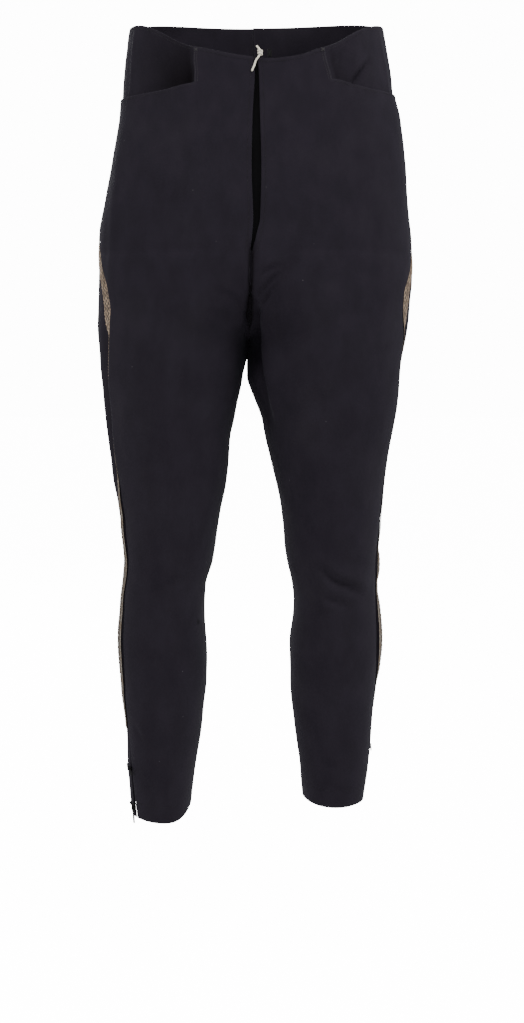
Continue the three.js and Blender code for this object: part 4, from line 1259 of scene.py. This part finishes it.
def add_lace(side):
    """Woven lace over the side seam: a thin shell just above the back panel, with its weave in relief
    and small scallops along both edges."""
    top = float(SURFACES[side, "back"][0][0, 0, 2])
    z_rows = np.arange(top, LACE_END, -LACE_PITCH)
    u = np.linspace(-1, 1, LACE_ACROSS)
    s = top - z_rows
    scallop = LACE_SCALLOP * np.abs(np.sin(np.pi * s / LACE_SCALLOP_PITCH))
    width = LACE_WIDTH - LACE_INSET - LACE_SCALLOP
    outermost = share_of((np.abs(u) - (1 - LACE_RIM)) / LACE_RIM)
    distance = LACE_INSET + (u[None] + 1) / 2 * width + (np.sign(u) * outermost)[None] * scallop[:, None]
    distance = np.maximum(distance, LACE_LEAST)
    z = np.broadcast_to(z_rows[:, None], distance.shape)
    points = surface(side, "back", z, distance)
    normals = grid_smooth(outward_normals(side, points, len(z_rows) // 2, LACE_ACROSS // 2))
    relief = crease_relief(side, "back", points[..., 0], distance, z) + unevenness(points)
    relief = relief * share_of(s[:, None] / WAIST_EASE + WAIST_LEAST)
    ridge = lace_ridges(np.broadcast_to(u, z.shape), np.broadcast_to(s[:, None], z.shape))
    lift = LACE_LOW + LACE_THICK * mix(LACE_BASE, 1, ridge)
    outer = points + normals * (relief + lift)[..., None]
    layers, quads, source, _ = shell(outer, normals, all_cells(outer), LACE_THICK * LACE_BASE, 0.5)
    uv = np.stack([(u[None] * LACE_WIDTH / 2).repeat(len(s), 0), s[:, None].repeat(LACE_ACROSS, 1)], -1)
    piece = new_piece(
        f"gold_lace_{side}", layers, quads, LACE, "lace", None, uv.reshape(-1, 2)[source],
        {"ridge": ridge.reshape(-1)[source]},
    )
    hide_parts(f"lace_{side}")
    return piece


laces = {side: add_lace(side) for side in SIGN}


# Stitches
def on_surface(side, half, distance, z, lift):
    """Points and outward directions of the dressed cloth at distances from the side seam and heights."""
    step = 1.0
    here = surface(side, half, z, distance)
    beside = surface(side, half, z, distance + step)
    below = surface(side, half, z - step, distance)
    normal = unit(np.cross(beside - here, below - here))
    normal = normal * np.sign((normal * outward_hint(side, here)).sum(-1))[..., None]
    relief = crease_relief(side, half, here[..., 0], distance, z) + unevenness(here)
    return here + normal * (relief + lift)[..., None], normal


def outward_hint(side, points):
    """Rough direction away from the middle of the leg or body."""
    z = points[..., 2]
    middle_x = np.where(z > FORK_START, 0, SIGN[side] * 105.0)
    return np.stack([points[..., 0] - middle_x, points[..., 1] - 8, np.zeros_like(z)], -1)


STITCH_SHAPE = np.array([
    (-0.5, 0, 0), (-0.36, 0.5, 0.1), (-0.36, 0, 0.7), (-0.36, -0.5, 0.1),
    (0, 0.5, 0.25), (0, 0, 1), (0, -0.5, 0.25),
    (0.36, 0.5, 0.1), (0.36, 0, 0.7), (0.36, -0.5, 0.1), (0.5, 0, 0),
    (-0.3, 0, -0.3), (0.3, 0, -0.3),
])
STITCH_TRIS = np.array([
    (0, 1, 2), (0, 2, 3), (10, 8, 7), (10, 9, 8), (0, 11, 1), (0, 3, 11), (10, 7, 12), (10, 12, 9),
    (11, 12, 4), (11, 4, 1), (12, 7, 4), (11, 6, 12), (11, 3, 6), (12, 6, 9),
    (1, 4, 5), (1, 5, 2), (4, 7, 8), (4, 8, 5), (3, 2, 5), (3, 5, 6), (6, 5, 8), (6, 8, 9),
])


def stitches(name, middles, ahead, normals, length, width, material):
    """Many small raised stitches: one lozenge of 13 points put at each middle, along ahead."""
    ahead = unit(ahead)
    aside = unit(np.cross(normals, ahead))
    up = unit(np.cross(ahead, aside))
    local = STITCH_SHAPE * (length, width, width * 0.7)
    points = middles[:, None] + sum(
        local[:, k : k + 1] * direction[:, None] for k, direction in enumerate((ahead, aside, up))
    )
    base = np.arange(len(middles))[:, None, None] * len(STITCH_SHAPE)
    tris = (STITCH_TRIS[None] + base).reshape(-1, 3)
    flat = points.reshape(-1, 3)
    none = np.zeros((0, 4), int)
    _, tris = faces_out(flat, none, tris)
    uv = np.tile(STITCH_SHAPE[:, :2] * length, (len(middles), 1))
    return new_piece(name, flat, none, material, "cloth", tris, uv)


def stitch_line(side, half, places, pitch, lift):
    """Middles, directions and normals of stitches at an even pitch along a line of (distance, z)."""
    line = np.asarray(places, float)
    fine = np.linspace(0, 1, 400)
    knots = np.linspace(0, 1, len(line))
    distance, z = np.interp(fine, knots, line[:, 0]), np.interp(fine, knots, line[:, 1])
    points, normals = on_surface(side, half, distance, z, lift)
    along = lengths_along(points)
    marks = np.arange(pitch / 2, along[-1], pitch)
    at, ahead, n = (
        np.stack([np.interp(marks, along, values[:, k]) for k in range(3)], -1)
        for values in (points, np.gradient(points, axis=0), normals)
    )
    return at, ahead, unit(n)


def along_row(side, half, columns, row, shift):
    """A line of (distance, z) along a row, from one column to another, moved up by shift."""
    columns = np.linspace(*columns, STITCH_PLACES)
    z = row_heights(side, half, columns)[row] + shift
    return np.stack([column_distance(side, half, z, columns), z], -1)


def down_column(side, half, column, rows, shift, count):
    """A line of (distance, z) down a column, from one row to another, moved away from the side seam."""
    columns = np.full(count, float(column))
    heights = row_heights(side, half, columns)
    steps = np.linspace(*rows, count)
    k = np.clip(steps.astype(int), 0, LAST_ROW - 1)
    n = np.arange(count)
    z = mix(heights[k, n], heights[k + 1, n], steps - k)
    return np.stack([column_distance(side, half, z, columns) + shift, z], -1)


STITCH_PLACES = 60
STITCH_LENGTH, STITCH_WIDTH = 1.9, 0.42
ON_CLOTH, ON_POCKET_SIDE = 0.05, -2.2
# Down the columns: thread, half, column, first and last row, shifts from the column, pitch, lift
STITCHES_DOWN = [
    ("seam", "front", POCKET_SEAM_COLUMN, (0.12, 3.0), (1.6, 4.4), 2.6, ON_CLOTH),
    ("seam", "front", COLUMNS, (0.1, 2.95), (2.2, 5.0), 2.6, ON_POCKET_SIDE),
    ("edge", "back", 0, (0.1, 2.95), (LACE_WIDTH + 2.2, LACE_WIDTH + 5.0), 2.8, ON_CLOTH),
    ("edge", "front", 0, (0.1, ROWS_BEFORE_FORK), (-5.0,), 2.8, ON_CLOTH),
]
# Along the rows: half, first and last column, row, shift from the row, pitch, lift
STITCHES_ALONG = [
    ("front", (0.15, 2.8), 0, -4.5, 2.8, ON_CLOTH),
    ("front", (3.25, 11.85), 0, -4.5, 2.8, ON_POCKET_SIDE),
    ("back", (2.2, 11.9), 0, -4.5, 2.8, ON_CLOTH),
    ("front", (3.1, 11.9), TOP_ROWS, -3.2, 2.8, ON_CLOTH),
    ("front", (0.1, 11.9), LAST_ROW, 21.0, 3.4, ON_CLOTH),
    ("back", (0.1, 11.9), LAST_ROW, 21.0, 3.4, ON_CLOTH),
]


def add_stitching(side):
    """All lines of one half: doubled on the pocket and side seams, and single at the waist, the pocket
    mouth, the fly and the hem."""
    lines = {"seam": [], "edge": []}
    for thread, half, column, rows, shifts, pitch, lift in STITCHES_DOWN:
        for shift in shifts:
            places = down_column(side, half, column, rows, shift, STITCH_PLACES)
            lines[thread].append(stitch_line(side, half, places, pitch, lift))
    for half, columns, row, shift, pitch, lift in STITCHES_ALONG:
        places = along_row(side, half, columns, row, shift)
        lines["edge"].append(stitch_line(side, half, places, pitch, lift))
    made = []
    for label, thread in (("seam", PALE_THREAD), ("edge", SEAM_THREAD)):
        at, ahead, n = (np.concatenate(parts) for parts in zip(*lines[label]))
        name = f"{label}_stitches_{side}"
        made.append(stitches(name, at, ahead, n, STITCH_LENGTH, STITCH_WIDTH, thread))
    return made


stitching = {side: add_stitching(side) for side in SIGN}


# Thread bars at the pocket corners
BAR_AWAY, BAR_ROW, BAR_LIFT = 3.0, 0.3, 0.15
BAR_TURN, BAR_SPACING, BAR_LENGTH, BAR_WIDTH = 0.75, 0.5, 6.0, 0.55


def add_bars(side):
    """Two crossed thread bars at the top of the pocket seam, each of three long stitches."""
    place = down_column(side, "front", POCKET_SEAM_COLUMN, (BAR_ROW, BAR_ROW), BAR_AWAY, 1)[0]
    middle, normal = on_surface(side, "front", place[:1], place[1:], BAR_LIFT)
    across = unit(np.cross(normal, (0, 0, 1)))
    down = np.cross(across, normal)
    ahead, at = [], []
    for turn in (BAR_TURN, -BAR_TURN):
        direction = across * math.cos(turn) + down * math.sin(turn)
        aside = np.cross(direction, normal)
        for n in (-1, 0, 1):
            ahead.append(direction[0])
            at.append((middle + aside * n * BAR_SPACING)[0])
    n = np.repeat(normal, len(at), 0)
    name = f"thread_bar_{side}"
    return stitches(name, np.array(at), np.array(ahead), n, BAR_LENGTH, BAR_WIDTH, PALE_THREAD)


bars = {side: add_bars(side) for side in SIGN}


# Tab on the waist edge
TAB_WIDTH, TAB_THICKNESS, TAB_EDGE_REACH = 5.0, 1.2, 0.6
TAB_ROUND, TAB_TIP = 0.28, 0.12


def add_tab():
    """A small folded tab: a flat strip as high as its solid, with a round top and a shallow wave."""
    low, high = (np.array(corner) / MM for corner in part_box("waist_tab"))
    u = np.linspace(-1, 1, 15)
    v = np.linspace(0, 1, 21)
    up, across = np.meshgrid(v, u, indexing="ij")
    narrow = np.sqrt(share_of(1 - share_of((up - (1 - TAB_ROUND)) / TAB_ROUND) ** 2))
    x = (low[0] + high[0]) / 2 + across * TAB_WIDTH / 2 * np.maximum(narrow, TAB_TIP)
    y = low[1] + 0.35 - 0.25 * np.sin(up * 3) + 0.15 * np.cos(across * 4)
    points = np.stack([x, y, mix(low[2], high[2], up)], -1)
    normals = np.broadcast_to(np.array([0.0, -1.0, 0.0]), points.shape)
    uv = grid_uv(points)
    piece = cloth_piece(
        "waist_tab_strip", points, normals, all_cells(points), TAB_THICKNESS, uv, TAPE, "tape",
        edge_reach=TAB_EDGE_REACH,
    )
    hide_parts("waist_tab")


add_tab()


# Tape ties over the hem slits
# Height, how far the knot stands out, and the two ends, each as points (forwards, outwards, up)
TIES = {
    "upper": (-901, 2.65, [[(-4, 3.6, 1.5), (-7, 3.0, 5)], [(5, 3.2, -2), (9, 2.8, -5)]]),
    "lower": (-949, 2.25, [[(-3.5, 3.6, 4), (-6.5, 4.2, 6.5)], [(2, 3.0, -9), (3, 2.9, -17)]]),
}
TIE_RAISE = {"right": 0, "left": 16}
TAPE_WIDTH, TAPE_THICKNESS = 4.0, 0.7
# The two wraps of a knot: tilt, radius and how far the wrap drifts along the knot
WRAPS = ((0.5, 1.7, 0.5), (-0.65, 1.55, -0.4))
WRAP_TURNS, WRAP_STRETCH, WRAP_WIDTH, WRAP_THICKNESS = 1.04, 1.25, 3.0, 0.8
CORE_HALF_LENGTH, CORE_RADIUS = 2.2, 1.7


def ribbon(route, width, thickness, up, curl):
    """A flat tape along a route: a rounded rectangle section that turns a little on its way."""
    n = len(route)
    t = np.linspace(0, 1, n)[:, None]
    u = np.array([-1, -0.6, 0, 0.6, 1, 0.6, 0, -0.6])[None]
    v = np.array([0, 1, 1.15, 1, 0, -1, -1.15, -1])[None]
    narrow = 1 - 0.25 * np.exp(-((t / 0.15) ** 2))
    a = u * width / 2 * narrow
    b = v * thickness / 2 + curl * (u**2) * np.sin(t * 3)
    turn = curl * 0.8 * np.sin(t * 2.4)
    offsets = np.stack([a * np.cos(turn) - b * np.sin(turn), a * np.sin(turn) + b * np.cos(turn)], -1)
    points, quads, tris, uv = carried(route, offsets, up)
    flat = np.concatenate([np.tile(u[0], n), [0, 0]]) * width / 2
    return points, quads, tris, np.stack([flat, uv[:, 1]], 1)


def add_tie(side, place):
    """A tape tie: two flat ends from under a knot, and the knot as two tape wraps at an angle."""
    height, lift, ends = TIES[place]
    z = np.array([float(height + TIE_RAISE[side])])
    seam, beside = (surface(side, "back", z, np.array([distance]))[0] for distance in (0.0, 4.0))
    along = unit((beside - seam) * (1, 1, 0))
    out = unit(np.cross(along, (0, 0, 1)))
    if out[0] * SIGN[side] < 0:
        out = -out
    forward = np.cross(out, (0, 0, 1)) * SIGN[side]
    directions = np.stack([forward, out, (0, 0, 1)])
    knot = seam + out * lift
    parts = []
    for n, points in enumerate(ends):
        route = smooth_route([knot] + [seam + np.array(p) @ directions for p in points], 28)
        parts.append(ribbon(route, TAPE_WIDTH, TAPE_THICKNESS, out, 0.25 if n else -0.2))
    for tilt, radius, drift in WRAPS:
        angle = np.linspace(0, 2 * np.pi * WRAP_TURNS, 40)[:, None]
        across = forward * math.cos(tilt) + np.array([0, 0, math.sin(tilt)])
        sideways = np.cross(across, out)
        route = knot + across * (radius * WRAP_STRETCH * np.cos(angle)) + out * (radius * np.sin(angle))
        route = route + sideways * (drift * np.sin(angle / 2))
        parts.append(ribbon(route, WRAP_WIDTH, WRAP_THICKNESS, sideways, 0.12))
    t = np.linspace(-1, 1, 9)[:, None]
    radius = np.sqrt(1 - (t * 0.96) ** 2) * CORE_RADIUS
    angle = np.linspace(0, 2 * np.pi, 12, endpoint=False)[None]
    profile = np.stack([radius * np.cos(angle), radius * np.sin(angle)], -1)
    parts.append(carried(knot + forward * t * CORE_HALF_LENGTH, profile, (0, 0, 1)))
    points, quads, tris, uv = merged(parts)
    piece = new_piece(f"tape_tie_{place}_{side}", points, quads, TAPE, "tape", tris, uv)
    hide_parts(f"hem_tie_{place}_{side}")


for side in SIGN:
    for place in TIES:
        add_tie(side, place)


# What each sheet was cut from: width and length of the rectangle round its cut, in metres
CUTS = {
    "front_panel_right": (0.27, 1.0),
    "front_panel_left": (0.27, 1.0),
    "back_panel_right": (0.33, 1.02),
    "back_panel_left": (0.33, 1.02),
    "pocket_panel_right": (0.2, 0.13),
    "pocket_panel_left": (0.2, 0.13),
    "underlap_strip": (0.05, 0.24),
}
for name, (width, length) in CUTS.items():
    side = name.rsplit("_", 1)[1]


# Floor and light
FLOOR_HEIGHT = -1.17
FLOOR_HALF = 12.0
SKY_LIGHT, SKY_SEEN = 0.5, 14.0


def floor_material():
    """Pale matt paper with a very faint mottle."""
    made, w, shader = material("pale_floor")
    mottle = w.noise(w.coordinates("Object"), 3.0, 3.0, 0.5)
    colour = w.blend(w.maths("MULTIPLY", mottle, 0.1), (0.82, 0.82, 0.82, 1), (0.74, 0.74, 0.745, 1))
    w.put(shader.inputs["Base Color"], colour)
    shader.inputs["Roughness"].default_value = 0.9
    shader.inputs["Emission Color"].default_value = (1, 1, 1, 1)
    w.put(shader.inputs["Emission Strength"], w.seen_as(0.0, SKY_SEEN))
    return made


floor_mesh = bpy.data.meshes.new("floor")
floor_mesh.from_pydata(
    [(x * FLOOR_HALF, y * FLOOR_HALF, FLOOR_HEIGHT) for x, y in ((-1, -1), (1, -1), (1, 1), (-1, 1))],
    [],
    [(0, 1, 2, 3)],
)
floor_mesh.materials.append(floor_material())
in_scene("floor", floor_mesh)

world = bpy.data.worlds.new("studio")
world.use_nodes = True
sky = Wiring(world.node_tree)
background = world.node_tree.nodes["Background"]
background.inputs["Color"].default_value = (1, 1, 1, 1)
sky.put(background.inputs["Strength"], sky.seen_as(SKY_LIGHT, SKY_SEEN))
bpy.context.scene.world = world


LIGHT_TARGET = np.array([0, 0, -0.45])
# Place in metres, side of the square in metres, and power in watts
LIGHTS = {
    "left_light": ((-2.1, -1.1, 0.2), 1.2, 38),
    "right_light": ((2.2, -1.1, 0.6), 1.0, 50),
    "top_light": ((0.4, -1.2, 1.8), 1.0, 52),
    "back_light": ((-0.8, 2.3, 0.9), 1.6, 60),
}


def soft_light(name, place, size, power):
    """A square area light at a place, turned towards the middle of the garment."""
    data = bpy.data.lights.new(name, "AREA")
    data.size = size
    data.energy = power
    light = in_scene(name, data)
    light.location = place
    x, y, z = LIGHT_TARGET - place
    light.rotation_euler = (math.atan2(math.hypot(x, y), -z), 0, math.atan2(y, x) - math.pi / 2)


for name, (place, size, power) in LIGHTS.items():
    soft_light(name, place, size, power)
